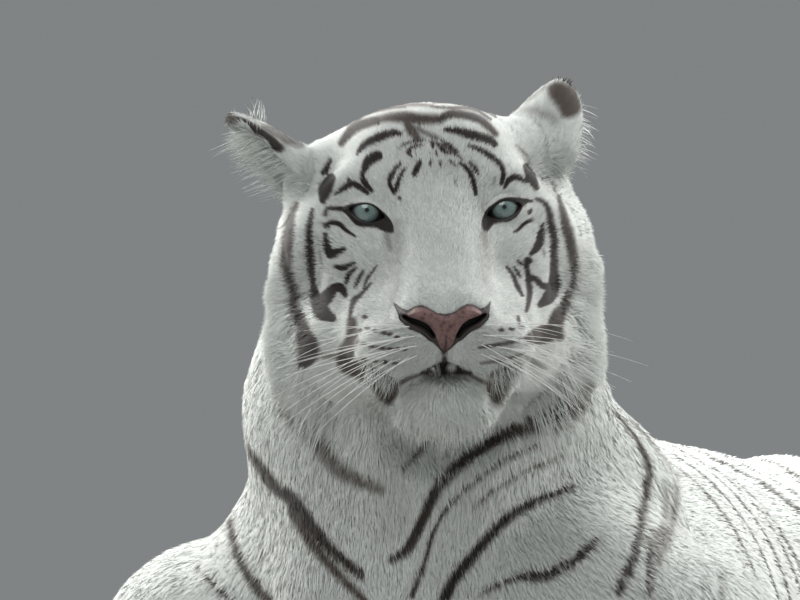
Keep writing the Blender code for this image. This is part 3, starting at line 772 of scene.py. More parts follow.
def almond(angles, side, grow=0.0):
    """Points of the opening's edge, left and up of the eye's centre, as angles go round it."""
    width, height = OPENING[0] / 2 + grow, OPENING[1] / 2 + grow
    x = width * np.cos(angles)
    z = height * np.sin(angles) * (1 - 0.35 * np.cos(angles) ** 2)
    slant = side * OPENING_SLANT
    return np.stack([x * math.cos(slant) - z * math.sin(slant), x * math.sin(slant) + z * math.cos(slant)], 1)


def cut_opening(eye_centre, side):
    bar = start_piece("bar", bpy.ops.mesh.primitive_cylinder_add, vertices=72, radius=1, depth=1)
    place = coordinates(bar.data)
    outline = almond(np.arctan2(place[:, 1], place[:, 0]), side)
    local = np.stack([outline[:, 0], (place[:, 2] - 0.5) * 0.045, outline[:, 1]], 1)
    move_to(bar.data, local @ HEAD_TURN.T + np.array(eye_centre))
    face_outwards(bar)
    combine(skin, bar, "DIFFERENCE")


for side, centre in EYES.items():
    cut_opening(centre, side)
print("skin with open lids has", len(skin.data.polygons), "faces")

# %% [markdown]
# ## A bed for the nose
# The nose leather is a piece of its own, so the skin is pushed back under it.

# %% Outline of the nose leather, and the bed under it
NOSE_ASIDE = -3.3  # the nose points this far to one side of the middle of the head
NOSE_TOP = ((0, -93.6), (8, -92), (14, -88), (21, -84.6), (28, -86), (34, -90), (39, -87.5), (44, -83))
NOSE_FOOT = ((0, -131.5), (3, -127.3), (10.5, -119.6), (21.7, -110), (33.3, -105.4), (40.8, -97), (44, -85))


def nose_edges(x):
    """Height of the leather's upper and lower edge at a distance from the middle, in millimetres."""
    x = np.abs(x)
    return np.interp(x, *zip(*NOSE_TOP)), np.interp(x, *zip(*NOSE_FOOT))


def inside_nose(on_head):
    """How far inside the leather's outline a point of the head is, in millimetres."""
    x, z = on_head[:, 0] * 1000 - NOSE_ASIDE, on_head[:, 2] * 1000
    top, foot = nose_edges(x)
    inside = np.minimum(np.minimum(top - z, z - foot), 44.0 - np.abs(x))
    return np.where(on_head[:, 1] < -0.075, inside, -20)


def press_nose_bed(depth=0.007):
    place = coordinates(skin.data)
    share = np.clip(inside_nose(in_head(place)) / 2.5 - 0.2, 0, 1)
    move_to(skin.data, place + (share * depth)[:, None] * HEAD_TURN[:, 1])


press_nose_bed()
print("skin from", coordinates(skin.data).min(0).round(3), "to", coordinates(skin.data).max(0).round(3))

# %% [markdown]
# ## Stripes and painted shade of the head and chest
# No two tigers have the same stripes, so they are drawn one by one: each stroke is a few points on the pane
# with its widths, and a smooth curve runs through them. Left and right here are the view's.

# %% Strokes
class Stroke:
    """A smooth line in millimetres with a width at each of its points; shade is 1 for the darkest hair."""

    def __init__(self, widths, points, shade=1.0, soft=1.3):
        route = smooth_route(points, 4)
        if not isinstance(widths, tuple):
            widths = (widths * 0.45,) + (widths,) * max(len(points) - 2, 1) + (widths * 0.45,)
        given = np.linspace(0, 1, len(widths))
        self.half = (np.interp(np.linspace(0, 1, len(route)), given, widths) * 1.12 + 0.5) / 2
        self.route, self.shade, self.soft = np.array(route, float), shade, soft
        margin = self.half.max() + soft
        self.low, self.high = self.route.min(0) - margin, self.route.max(0) + margin

    def darkness(self, spots):
        """How dark the stroke makes each spot, from 0 to 1."""
        start, along = self.route[:-1], np.diff(self.route, axis=0)
        length = (along * along).sum(1) + 1e-12
        best = np.full(len(spots), -1e9)
        for i in range(len(along)):
            gap = spots - start[i]
            share = np.clip(gap @ along[i] / length[i], 0, 1)
            gap = gap - share[:, None] * along[i]
            half = self.half[i] + (self.half[i + 1] - self.half[i]) * share
            best = np.maximum(best, half - np.sqrt((gap * gap).sum(1)))
        return np.clip(best / self.soft + 0.5, 0, 1) * self.shade


def as_strokes(rows):
    """A stroke for each row of widths, points and, where they aren't the usual ones, shade and softness."""
    return [Stroke(*row) for row in rows]


def draw(strokes, spots):
    dark = np.zeros(len(spots))
    for stroke in strokes:
        near = ((spots > stroke.low) & (spots < stroke.high)).all(1)
        if near.any():
            dark[near] = np.maximum(dark[near], stroke.darkness(spots[near]))
    return dark


# %% Forehead
FOREHEAD = as_strokes([
    ((1.5, 2.5, 2.5, 2), [(-84, 80), (-75, 87), (-66, 93), (-48, 98), (-29, 100)], 0.95, 2),
    ((3, 4, 4, 3), [(-50, 97), (-34, 101), (-18, 102), (-3, 101)], 0.7, 3),
    ((1.5, 2.5, 3, 2.5, 1.5), [(-5, 100), (13, 99), (28, 99), (40, 96), (52, 88)], 0.95, 2),
    ((1, 2, 2, 1), [(-3, 103.5), (15, 103.5), (32, 102), (45, 97), (57, 90)], 0.9, 1.5),
    ((5, 7, 8, 8, 7), [(-90, 65), (-85, 72), (-79, 78), (-70, 83), (-56, 87)], 1, 3),
    ((6, 8, 10, 9, 7), [(-58, 87), (-43, 90), (-29, 90), (-15, 88), (4, 88)], 0.85, 5),
    ((6, 7, 7, 6, 4), [(3, 88), (14, 93), (28, 92), (41, 88), (49, 82), (57, 74)], 0.97, 3),
    ((7, 9, 6), [(-27, 84), (-23, 77), (-18, 71)], 0.72, 4),
    ((5, 4, 3), [(-18, 79), (-8, 74), (2, 70)], 0.6, 3),
    (2.4, [(-6, 67), (6, 63), (16, 57), (25, 50)], 0.75, 1.6),
    (1.8, [(-12, 70), (-26, 66), (-36, 60)], 0.6, 1.6),
    ((2, 5, 7, 7, 6, 3), [(-75, 55), (-70, 62), (-61, 68), (-51, 72), (-41, 75), (-33, 74)]),
    ((3, 6, 7.5, 7.5, 7, 5), [(9, 78), (18, 77), (30, 74), (42, 71), (51, 68), (56, 64)]),
    (2, [(-10, 68), (-21, 67), (-33, 65)], 0.9),
    (3, [(-12, 64), (-21, 62), (-27, 57), (-23, 53)], 0.9),
    (3, [(-3, 67), (-3, 61)]),
    (2.5, [(0, 65), (6, 59), (14, 55)]),
    (3, [(5, 68), (13, 63), (21, 57)]),
    (2.5, [(-5, 49), (-6, 44)], 0.9),
    (2, [(3, 48), (5, 43)], 0.8),
    ((3, 5, 4), [(-15, 48), (-18, 41), (-21, 36)]),
    (2, [(0, 58), (1, 53)], 0.8),
    (2, [(12, 49), (20, 43)], 0.7),
    (2, [(17, 31), (20, 24)], 0.4),
    (2, [(56, 33), (54, 26)], 0.4),
])

# %% Left brow and temple
LEFT_BROW = as_strokes([
    ((2, 4, 3.5, 2.5), [(-34, 46), (-41, 37), (-44, 28), (-40, 18)]),
    ((1.5, 3.5, 3.5, 2), [(-29, 42), (-35, 31), (-38, 21), (-40, 17)]),
    (3, [(-35, 14), (-34, 12)], 0.8),
    ((9, 9, 6, 3, 5, 3), [(-56, 53), (-63, 49), (-67, 43), (-70, 35), (-68, 28), (-61, 20)]),
    ((2, 5, 5, 5, 3), [(-95, 17), (-87, 23), (-80, 27), (-72, 23), (-65, 18)]),
    ((4, 2), [(-81, 25), (-83, 31)]),
    ((8, 12, 6), [(-100, 32), (-105, 21), (-107, 11)]),
    ((2, 4, 4), [(-100, 50), (-103, 43), (-107, 37)]),
])

# %% Right brow and temple
RIGHT_BROW = as_strokes([
    ((2, 4, 4, 3), [(22, 47), (30, 40), (35, 31), (38, 17)]),
    (3.5, [(32, 47), (37, 41), (40, 36)]),
    ((2, 4, 4.5, 4, 4, 3), [(31, 63), (42, 59), (52, 53), (61, 45), (64, 36), (62, 27)]),
    ((2, 4.5, 5, 3), [(65, 23), (69, 30), (76, 33), (85, 29)]),
    ((6, 9, 5), [(86, 43), (90, 33), (95, 23)]),
    (2, [(77, 63), (85, 55), (90, 46)], 0.5),
    (2, [(110, 29), (115, 15)], 0.5),
])

# %% Left cheek and ruff
LEFT_CHEEK = as_strokes([
    ((3, 6, 8, 10, 10, 8, 8, 8, 10, 12, 12, 10, 8), [
        (-132, 8), (-137, -3), (-139, -16), (-141, -30), (-142, -47), (-140, -60), (-135, -74), (-134, -88),
        (-130, -101), (-126, -111), (-122, -122), (-120, -133), (-126, -144)], 0.95, 2.5),
    ((2, 5, 6, 7.5, 6, 4, 6, 12, 14, 6), [
        (-117, 3), (-120, -13), (-120, -30), (-119, -47), (-118, -60), (-116, -72), (-113, -83), (-109, -94),
        (-98, -101)]),
    ((11, 11, 8, 7, 4), [(-111, -90), (-104, -81), (-97, -73), (-90, -72), (-86, -79)]),
    ((4, 3.5, 3, 2), [(-88, 3), (-96, 3), (-102, 3), (-105, -3)]),
    ((5, 4, 4, 3, 1.5), [(-104, -13), (-98, -10), (-91, -12), (-86, -17), (-77, -23)]),
    ((3, 6, 8, 6, 3), [(-105, -21), (-104, -31), (-100, -40), (-94, -38), (-87, -35)]),
    ((3, 5, 2), [(-95, -52), (-88, -53), (-77, -48)]),
    ((3, 4, 2), [(-85, -67), (-83, -60), (-76, -53)]),
    (3, [(-77, -72), (-73, -63), (-69, -56)]),
    (2, [(-69, -73), (-65, -63), (-56, -51)]),
    ((2, 4, 5, 3, 1.5), [(-82, -101), (-80, -90), (-77, -83), (-72, -79), (-62, -68)]),
    (1.5, [(-112, -23), (-109, -49)], 0.4),
])

# %% Right cheek and ruff
RIGHT_CHEEK = as_strokes([
    ((3, 6, 8, 9, 8, 6, 4, 5, 8, 6), [
        (116, 15), (120, 1), (123, -12), (127, -27), (130, -44), (131, -56), (130, -67), (124, -82), (118, -94),
        (112, -99)], 0.95, 2.5),
    ((7, 12, 13, 8), [(124, -88), (117, -97), (114, -106), (117, -118)], 0.9, 2.5),
    ((3, 4, 5, 6, 6, 6, 7, 11, 11, 5), [
        (96, 12), (102, 9), (107, 1), (109, -11), (112, -26), (112, -41), (112, -56), (112, -70), (107, -81),
        (99, -88)]),
    ((6, 5, 5, 5, 4, 6, 3), [
        (109, -71), (101, -70), (95, -64), (89, -62), (86, -53), (87, -46), (90, -47)]),
    ((4, 5, 4, 2), [(87, -65), (89, -73), (88, -84), (86, -94)]),
    ((3, 6, 7, 3), [(101, -12), (100, -21), (97, -32), (90, -40)]),
    ((3, 2.5, 2, 1.5), [(90, -8), (84, -11), (78, -17), (74, -19)]),
    (3, [(90, 2), (88, -2)]),
    (3, [(80, 12), (92, 10)]),
    ((1.5, 3, 4, 2.5), [(67, -52), (73, -60), (77, -70), (82, -79)]),
    (2.5, [(74, -52), (78, -58), (80, -62)]),
    (2, [(77, -46), (84, -52)]),
    (3, [(78, -99), (79, -106)]),
    (2, [(102, -35), (103, -43)], 0.5),
])

# %% Muzzle: rows of whisker spots, the philtrum, the seam of the lips, and painted shade of bridge, chin and jaw
def spots(size, *places):
    widths = (size * 0.6, size, size * 0.6)
    return [Stroke(widths, [(x - 1.8, z), (x, z), (x + 1.8, z)], 0.75) for x, z in places]


MUZZLE = (
    spots(3.6, (-67.5, -99.7))
    + spots(3.0, (-72, -112), (-65, -110), (-58, -113), (-49, -115), (-44, -116), (-37, -119))
    + spots(3.2, (-69, -125), (-61, -127.5), (-51, -129), (-44, -130), (-36, -130), (-30, -130))
    + spots(3.0, (-68, -140), (-58, -141.5), (-48, -142.5), (-39, -143.5), (81, -109.5), (72, -111), (62, -112))
    + as_strokes([
        ((2, 3, 3, 2), [(-70, -124.5), (-60, -127.5), (-48, -130), (-33, -130)], 0.45, 1.8),
        ((2, 3, 3.4, 2), [(84, -120.5), (68, -124.5), (55, -126.5), (41, -129)], 0.65, 1.8),
        ((2, 2.6, 3, 2), [(84, -134), (72, -138), (58, -141.5), (43, -143.5)], 0.55, 1.8),
        ((5, 4.5, 5), [(8.2, -133), (8.2, -137), (8.2, -141.6)], 0.45, 1.5),
        ((3, 4, 5), [(8.1, -139), (8.1, -142), (8.1, -144)], 0.9, 1.5),
        ((3, 5, 3), [(0.5, -146.5), (8.1, -144.5), (15.7, -146.5)], 0.9, 1.5),
        ((3, 6, 7, 6, 3), [(-7, -150), (0, -148.5), (8.1, -147.5), (16, -148.5), (23, -150)], 0.9, 1.5),
        ((3, 5, 6, 5, 3), [(-13, -153), (-2, -152), (8.6, -151.5), (20, -151.5), (33, -153.5)], 0.85, 2),
        ((3, 3, 3, 4), [(-8, -152), (-15, -154.5), (-25, -158), (-39, -165)], 0.6, 2),
        ((3, 3, 3, 4), [(24, -152), (30, -154), (38, -158), (50, -164)], 0.6, 2),
        # the dark lower lip, with painted shade under the upper lip
        ((6, 11, 6), [(-12, -157), (8.6, -158.5), (28, -157)], 0.34, 5),
        ((8, 11, 14, 16, 13, 17, 20, 12), [
            (-80, -104), (-80, -121), (-86, -135), (-84, -144.5), (-70, -152), (-56, -159.5), (-47, -168),
            (-47, -177)], 0.78, 4),
        ((4, 5, 5), [(-113, -136), (-104, -136.5), (-94, -137)], 0.5, 3),
        ((12, 18, 18, 10), [(-126, -115), (-122, -125), (-121, -134), (-126, -144)], 0.85, 3),
        ((8, 14, 16, 9), [(87, -122), (96, -118), (105, -115.5), (116, -111)], 0.85, 2.5),
        ((3, 6, 3), [(86, -138), (92, -142), (101, -147)], 0.45, 4),
        ((7, 13, 18, 17, 9), [(77, -147.5), (68, -153), (60, -160), (57, -168), (58, -177)], 0.75, 4),
        ((4, 6, 5), [(-47, -13), (-46, -24), (-43, -35)], 0.35, 4),
        ((4, 6, 5), [(46, -11), (46, -22), (47, -33)], 0.35, 4),
        # a beige stain down both sides of the bridge, darkened further as painted shade of their slopes
        ((7, 9, 9, 6), [(-37, -12), (-35, -32), (-36, -60), (-39, -82)], 0.20, 8),
        ((7, 9, 8, 5), [(47, -10), (45, -32), (46, -60), (50, -78)], 0.20, 8),
        # painted shadow: a dark band under the chin
        ((8, 14, 16, 14, 8), [(-38, -204), (-18, -216), (7.6, -220), (32, -215), (52, -202)], 0.42, 7),
        # painted shade along both sides of the lower jaw
        ((16, 22, 16), [(-82, -174), (-60, -192), (-42, -206)], 0.16, 12),
        ((10, 15, 10), [(72, -176), (103, -176), (130, -171)], 0.16, 9),
        ((8, 14, 16, 14, 12), [(146, -165), (141, -176), (128, -186), (112, -193), (90, -201)], 0.85, 4),
        # painted shade along the foot of the ruff on the left
        ((4, 8, 10, 10), [(-152, -168), (-147, -182), (-137, -196), (-122, -211)], 0.4, 6),
    ])
)

# %% Neck, chest and shoulders
CHEST = as_strokes([
    ((5, 7, 8, 10, 11, 9, 8, 8), [
        (-187, -212), (-183, -222), (-170, -238), (-155, -259), (-136, -274), (-112, -306), (-95, -325),
        (-72, -344)], 0.95, 3),
    ((9, 9, 7, 7, 6), [(-136, -284), (-121, -310), (-102, -334), (-84, -353), (-68, -369)], 0.8, 4),
    ((3, 5, 6, 8, 9), [(-200, -274), (-196, -297), (-190, -323), (-174, -353), (-160, -369)], 0.9, 3),
    ((1.5, 2.5, 3, 3), [(-230, -334), (-217, -349), (-204, -362), (-196, -369)]),
    ((6, 11, 12, 13, 12, 8), [
        (-145, -184), (-136, -197), (-121, -211), (-108, -225), (-95, -242), (-78, -253), (-53, -263)], 0.6, 6),
    ((3, 3, 5, 3), [(-31, -244), (-18, -229), (-8, -218)], 0.7, 3),
    # painted shade down the throat, under the chin
    ((30, 34, 30), [(-34, -217), (-39, -255), (-42, -293)], 0.09, 16),
    ((3, 6, 12, 14, 12, 10, 9, 9, 9, 9, 8, 8, 5), [
        (144, -166), (141, -180), (130, -191), (115, -198), (83, -205), (70, -210), (48, -221), (29, -234),
        (10, -251), (-3, -270), (-14, -295), (-28, -321), (-43, -330)], 0.95, 3),
    ((2, 3, 2.5, 2.5, 3, 3, 4), [
        (97, -220), (82, -227), (60, -238), (41, -253), (23, -268), (7, -286), (-4, -308), (-10, -330),
        (-23, -364)], 0.95, 2),
    ((2, 2.5, 2, 1.5), [
        (121, -231), (103, -239), (85, -246), (70, -255), (51, -268), (36, -281)], 0.75, 2),
    ((3, 5, 7, 8, 9, 9), [
        (130, -261), (118, -266), (103, -271), (88, -278), (73, -287), (57, -301), (42, -318), (29, -334),
        (17, -349), (7, -369)], 1, 2.5),
    ((3, 7, 7, 7, 8, 5, 3, 2), [
        (155, -310), (145, -318), (133, -330), (118, -339), (103, -346), (88, -346), (76, -348), (60, -354),
        (42, -362)], 0.95, 2.5),
    ((1.5, 2, 4, 6, 6, 6, 7, 6), [
        (172, -192), (185, -208), (194, -222), (202, -240), (201, -257), (198, -275), (191, -318), (183, -340),
        (172, -362)], 0.95, 2.5),
    ((1.5, 2, 2, 1.5), [(186, -199), (200, -212), (211, -225), (220, -238), (225, -248)], 0.6, 2),
    ((4, 5, 4), [(238, -232), (244, -237), (250, -250)], 0.3, 4),
    ((3, 4, 5, 8, 6), [(228, -248), (229, -268), (226, -286), (222, -304), (211, -332)], 0.5, 5),
    ((3, 4, 8, 6), [(219, -258), (218, -290), (212, -307), (206, -325)], 0.5, 5),
    (2.5, [(205, -303), (203, -322), (202, -347), (202, -369)], 0.9, 2),
    (2, [(208, -324), (207, -347), (206, -369)], 0.6, 2),
    ((2, 5, 6, 6), [(315, -236), (329, -244), (338, -252), (352, -268)], 0.9, 3),
    ((1, 2, 2.5), [(315, -231), (331, -236), (352, -245)], 0.8, 2),
    ((1, 2, 1), [(251, -216), (266, -220), (280, -229), (288, -237)], 0.3, 3),
    ((3, 6, 8, 10), [(319, -313), (324, -328), (325, -347), (334, -372)], 0.95, 3),
    ((3, 5, 5), [(273, -342), (270, -368)], 0.3, 5),
])
HEAD_STROKES = FOREHEAD + LEFT_BROW + RIGHT_BROW + LEFT_CHEEK + RIGHT_CHEEK + MUZZLE
print(len(HEAD_STROKES), "strokes on the head,", len(CHEST), "on the chest")

# %% [markdown]
# ## Stripes of the rest of the body
# What the pane doesn't reach gets stripes by rule, as seen from the side: thin, mostly in pairs that join at
# their ends, down the flanks and round the haunches, with bars inside the forelegs and rings on the tail.

# %% Flank and haunch strokes, in millimetres behind and above the chest
rng = np.random.default_rng(11)


def flank_strokes():
    """Pairs of lines from the back down the side, each pair a long loop that is pinched at both ends."""
    strokes = []
    spine = np.random.default_rng(5)  # the same for both sides, so that their stripes meet on the back
    for middle in np.arange(215, 800, 78):
        start = middle + spine.uniform(-14, 14)
        top, foot = 470, rng.uniform(60, 190)
        lean, sway = rng.uniform(20, 70), rng.uniform(8, 18)
        phase, width = rng.uniform(0, 6.3), rng.uniform(6, 10)
        gap = rng.uniform(7, 15)
        place = start - sway * math.sin(phase)
        for half in ((-1, 1) if rng.random() < 0.7 else (0,)):
            line = []
            for share in np.linspace(0, 1, 8):
                bulge = half * gap * math.sin(math.pi * min(1, share * 1.15)) ** 0.6 if share < 0.87 else 0
                z = top + (foot - top) * share
                line.append((place + lean * share + sway * math.sin(4 * share + phase) + bulge, z))
            strokes.append(Stroke((width * 0.5, width, width * 0.7, width, width * 0.6, 1.5), line, 0.95, 3))
    return strokes


def haunch_strokes():
    """Curved bars that follow the roundness of the thigh, then shorter ones down to the hock."""
    strokes = []
    spine = np.random.default_rng(6)
    for i, reach in enumerate(np.arange(60, 210, 44)):
        width = spine.uniform(6, 10)
        turn_from, turn_to = math.radians(spine.uniform(62, 80)), math.radians(rng.uniform(-60, -20))
        line = []
        for share in np.linspace(0, 1, 7):
            angle = turn_from + (turn_to - turn_from) * share
            out = reach + rng.uniform(-4, 4)
            back = (-1 if i % 2 else 1) * 0.825 * out * math.cos(angle)
            line.append((1005 + back, 235 + out * math.sin(angle)))
        strokes.append(Stroke((width * 0.4, width, width * 0.8, width, 2), line, 0.95, 3))
    for place in np.arange(740, 1060, 62):
        line = [(place, 215), (place + 12, 175), (place + rng.uniform(0, 14), 120), (place + 22, 85)]
        strokes.append(Stroke((2, 8, 6, 2), line, 0.9, 3))
    return strokes


BODY_STROKES = {side: flank_strokes() + haunch_strokes() for side in (1, -1)}
print(len(BODY_STROKES[1]), "strokes to a side")

# %% Bars on the limbs, rings on the tail, bands on the nape
SHIN_BARS = ((0.22, 7), (0.37, 5), (0.50, 8), (0.66, 6), (0.82, 7))  # share of the way down, and width in mm
FOOT_BARS = ((0.30, 6), (0.52, 5), (0.75, 6))
HIND_FOOT = ((0.275, 1.07, 0.062), (0.305, 0.72, 0.048))  # hock and toes
NAPE_BANDS = (-330, -282, -232, -176, -122, -66, -14, 38)  # heights above the eye line
TAIL_RINGS = np.linspace(0.07, 0.93, 13)


def band(off, half, soft):
    """1 in a band that is half wide to each side, 0 outside it, with a soft edge."""
    return np.clip((half - np.abs(off)) / soft + 0.5, 0, 1)


def along_limb(points, start, end):
    """Share of the way from start to end, and the distance from the line, for each point."""
    way = np.array(end) - np.array(start)
    share = (points - start) @ way / (way @ way)
    return share, lengths(points - start - share[:, None] * way)


def bars(points, start, end, reach, places, inner):
    """Bars across a limb, which fade towards its outer side."""
    share, off = along_limb(points, start, end)
    length = np.linalg.norm(np.array(end) - start) * 1000
    wave = 3.0 * np.sin(points[:, 2] * 70 + places[0][0] * 9)
    dark = np.zeros(len(points))
    for place, width in places:
        dark = np.maximum(dark, band((share - place) * length + wave, width / 2, 3))
    return dark * (off < reach) * (share > 0) * (share < 1.1) * np.clip(inner, 0, 1)


def tail_places(points):
    """Share of the way along the tail for each point near it, and its distance from the middle of the tail."""
    route = np.array(smooth_route(TAIL_ROUTE, 6)) + SHIFT
    best, share = np.full(len(points), 9.0), np.zeros(len(points))
    for i, spot in enumerate(route):
        away = lengths(points - spot)
        near = away < best
        best[near], share[near] = away[near], i / (len(route) - 1)
    return share, best


def tail_darkness(points):
    share, off = tail_places(points)
    dark = np.clip((share - 0.955) / 0.01, 0, 1)
    for i, place in enumerate(TAIL_RINGS):
        half = 0.011 + 0.005 * math.sin(i * 2.1) + 0.004 * i / len(TAIL_RINGS)
        wave = 0.004 * np.sin(points[:, 2] * 120 + i)
        dark = np.maximum(dark, band(share + wave - place, half, 0.005))
    return dark * (off < 0.09)


def nape_darkness(points):
    """Bands across the back of the neck and head, each bowed down in the middle."""
    height = (points[:, 2] - EYE_LINE[2]) * 1000
    aside = np.abs(points[:, 0] - EYE_LINE[0] * 0.4) * 1000
    dark = np.zeros(len(points))
    for i, middle in enumerate(NAPE_BANDS):
        bow = middle - 0.16 * aside + 7 * np.sin(aside / 19 + i * 2)
        width = 9 - 4 * np.clip(aside / 130, 0, 1)
        dark = np.maximum(dark, band(height - bow, width / 2, 3))
    return dark


# %% [markdown]
# ## One painter for skin and coat
# The same function colours the skin and every tuft, so the coat and what shows between its hairs always agree.
# It looks at the kind of coat at a point, and at which way the surface faces there.

# %% How dark the coat is at a point
EAR_SPOT = {"right": 0.62, "left": 0.66}  # how far up the back of each its white spot is
EAR_MARKS = as_strokes([
    ((8, 17, 22, 20, 9), [(110, 117), (116, 114), (123, 109), (127, 101), (123, 94)], 0.70, 5),
    ((2, 3, 3, 2), [(62, 97), (85, 105), (101, 117), (110, 124)], 0.35, 3),
    ((3, 5, 7, 7), [(64, 94), (85, 97), (100, 94), (113, 88)], 0.30, 6),
    ((5, 9, 11, 12, 11, 6), [
        (-196, 89), (-185, 84), (-175, 78), (-165, 71), (-156, 65), (-147, 60)], 0.97, 3),
    ((6, 10, 12, 8), [(-162, 80), (-150, 75), (-139, 70), (-128, 66)], 0.55, 4),
])
HEAD_KINDS = ("face", "crown", "cheek", "ruff", "jaw")
CHEST_REACH = 330  # how far behind the chest the drawn strokes go before those by rule take over


def ease(value, low, high):
    t = np.clip((value - low) / (high - low), 0, 1)
    return t * t * (3 - 2 * t)


def eye_distance(on_head, side):
    """How far outside the opening of an eye a point of the head is, in millimetres. Inside it is below 0."""
    x = on_head[:, 0] * 1000 - side * EYE_APART * 500
    z = on_head[:, 2] * 1000
    slant = side * OPENING_SLANT
    u = x * math.cos(slant) + z * math.sin(slant)
    v = -x * math.sin(slant) + z * math.cos(slant)
    half_u, half_v = OPENING[0] * 500, OPENING[1] * 500
    v = v / (1 - 0.35 * np.clip(u / half_u, -1, 1) ** 2)
    scaled = np.sqrt((u / half_u) ** 2 + (v / half_v) ** 2) + 1e-6
    return (scaled - 1) * np.sqrt(u * u + v * v) / scaled


EYE_PATCHES = {
    -1: ((-27, -24, -19, -14, -9, -3, 3, 9, 14, 19, 23, 27),
         (-19, -19.5, -18.5, -16, -14.5, -13.5, -13.5, -12, -7, -1, 1.5, 2.5),
         (-13, -6.5, -0.5, 3.6, 7.6, 9.9, 10.3, 9.9, 9.2, 7.2, 5.2, 3.5)),
    1: ((-20, -17, -14, -9, -3, 3, 8, 13, 17, 20, 24),
        (-16, -20, -21, -13.5, -12, -12, -10.4, -7, -2, 3.5, 6.5),
        (-10, -2, 2.5, 6.2, 10.4, 12.4, 12.8, 12.6, 12.2, 10.6, 8)),
}  # places out from the pupil, away from the nose, with the lower and the upper edge of the dark skin there


def eye_patch(pane, side):
    """How far inside the dark skin round an eye a point of the pane is, in millimetres."""
    middle = on_pane(np.array(EYES[side])[None])[0]
    out, up = (pane[:, 0] - middle[0]) * side, pane[:, 1] - middle[1]
    places, low, high = EYE_PATCHES[side]
    inside = np.minimum(up - np.interp(out, places, low), np.interp(out, places, high) - up)
    return np.minimum(inside, np.minimum(out - places[0], places[-1] - out))


def ear_share(points):
    """1 on an ear, which stands out of the body's field, and 0 on the head."""
    return ease(field(points), -0.0015, 0.003)


def ear_places(on_head, side):
    """Which points are near an ear, how far up and across it they lie, and its axis and opening direction."""
    root, axis, opening, length, width, _ = EARS[side]
    foot, rise, mouth = ear_axes(root, axis, opening)
    gap = on_head - foot
    mine = lengths(gap - rise * length * 0.35) < length * 0.85
    return mine, gap @ rise / length + EAR_SUNK, gap @ np.cross(rise, mouth) / width, rise, mouth


def ear_darkness(on_head, normals_head, pane, seen):
    dark = np.zeros(len(on_head))
    marks = draw(EAR_MARKS, pane)
    for side in EARS:
        mine, up, across, _, mouth = ear_places(on_head, side)
        behind = ease(-(normals_head @ mouth), -0.1, 0.3)
        spot = np.sqrt(((up - EAR_SPOT[side]) / 0.15) ** 2 + (across / 0.22) ** 2)
        back = ease(up, 0.34, 0.44) * ease(spot, 0.85, 1.15)
        tip = ease(up, 0.90, 0.97) * 0.6
        shown = seen * ease(-(normals_head @ mouth), -0.45, -0.15)
        dark = np.where(mine, shown * marks + (1 - shown) * (behind * back + (1 - behind) * tip), dark)
    return dark


def darkness(points, normals, kinds):
    """From 0 for white hair to 1 for the darkest, at points with their surface directions and kinds."""
    on_head = in_head(points)
    normals_head = normals @ HEAD_TURN
    pane = on_pane(points)
    seen = ease(normals @ view_back, -0.25, 0.0)
    head = share_of(kinds, *HEAD_KINDS)
    design = (points - SHIFT) * 1000

    mouth = (np.abs(on_head[:, 0]) < 0.07) & (on_head[:, 1] < -0.03) & (np.abs(on_head[:, 2] + 0.165) < 0.04)
    dark = draw(HEAD_STROKES, pane) * ease(head, 0.35, 0.6) * np.maximum(seen, mouth) * (on_head[:, 1] < 0.135)
    for side in EYES:
        around = np.maximum(eye_patch(pane, side), 0.6 - eye_distance(on_head, side))
        dark = np.maximum(dark, ease(around, -0.8, 1.2) * (on_head[:, 1] < 0.05) * seen)
    dark = np.maximum(dark, ease(inside_nose(on_head), -1.5, 0.5))

    body = 1 - ease(head, 0.35, 0.6)
    ruff_foot = share_of(kinds, "ruff") * ease(-pane[:, 1], 160, 168)
    facing = ease(normals @ view_back, 0.0, 0.2)
    drawn = (design[:, 1] < CHEST_REACH) & (pane[:, 1] > -372) & (pane[:, 0] < 350)
    front = np.maximum(body, ruff_foot) * facing * drawn
    dark = np.maximum(dark, draw(CHEST, pane) * front * (1 - ease(share_of(kinds, "shin", "paw"), 0.3, 0.7)))

    not_limb = body * (1 - share_of(kinds, "tail")) * (1 - ease(share_of(kinds, "paw"), 0.2, 0.6))
    for side in (1, -1):
        mine = (design[:, 0] * side > 0) & (design[:, 1] > 150) & (normals[:, 2] > -0.75)
        hidden = 1 - front * ease(CHEST_REACH - design[:, 1], 0, 40)
        found = draw(BODY_STROKES[side], design[:, 1:3])
        dark = np.maximum(dark, found * mine * hidden * not_limb)
        _, elbow, wrist, paw = (np.array(point) + SHIFT for point in FORELEGS[side])
        inner = ease(-normals[:, 0] * side, -0.35, 0.15)
        dark = np.maximum(dark, bars(points, elbow, paw, 0.10, SHIN_BARS, inner) * body * (design[:, 2] < 160))
        hock, sole = (np.array((side * x, y, z)) + SHIFT for x, y, z in HIND_FOOT)
        outer = ease(normals[:, 2], 0.0, 0.4) * 0.8
        dark = np.maximum(dark, bars(points, hock, sole, 0.075, FOOT_BARS, outer) * (design[:, 2] < 115))

    dark = np.maximum(dark, tail_darkness(points) * ease(share_of(kinds, "tail"), 0.3, 0.6))
    away = (1 - seen) * (design[:, 1] < 200) * ease(design[:, 2], 330, 380)
    backs = ease(normals[:, 1], -0.3, 0.2)
    dark = np.maximum(dark, nape_darkness(points) * away * backs)

    ears = ear_share(points)
    return dark * (1 - ears) + ears * ear_darkness(on_head, normals_head, pane, seen)


# %% Colours of the hair
# the hair's white, with a slight green cast of the cool shade light painted in
WHITE_HAIR = np.array((0.815, 0.845, 0.815))
DARK_HAIR = np.array((0.030, 0.024, 0.021))
FADED_HAIR = np.array((0.13, 0.105, 0.090))


def hair_colour(dark):
    """White through faded brown to nearly black."""
    dark = dark[:, None]
    faded = WHITE_HAIR + (FADED_HAIR - WHITE_HAIR) * np.clip(dark / 0.7, 0, 1)
    return faded + (DARK_HAIR - FADED_HAIR) * np.clip((dark - 0.7) / 0.3, 0, 1) * (dark > 0.7)


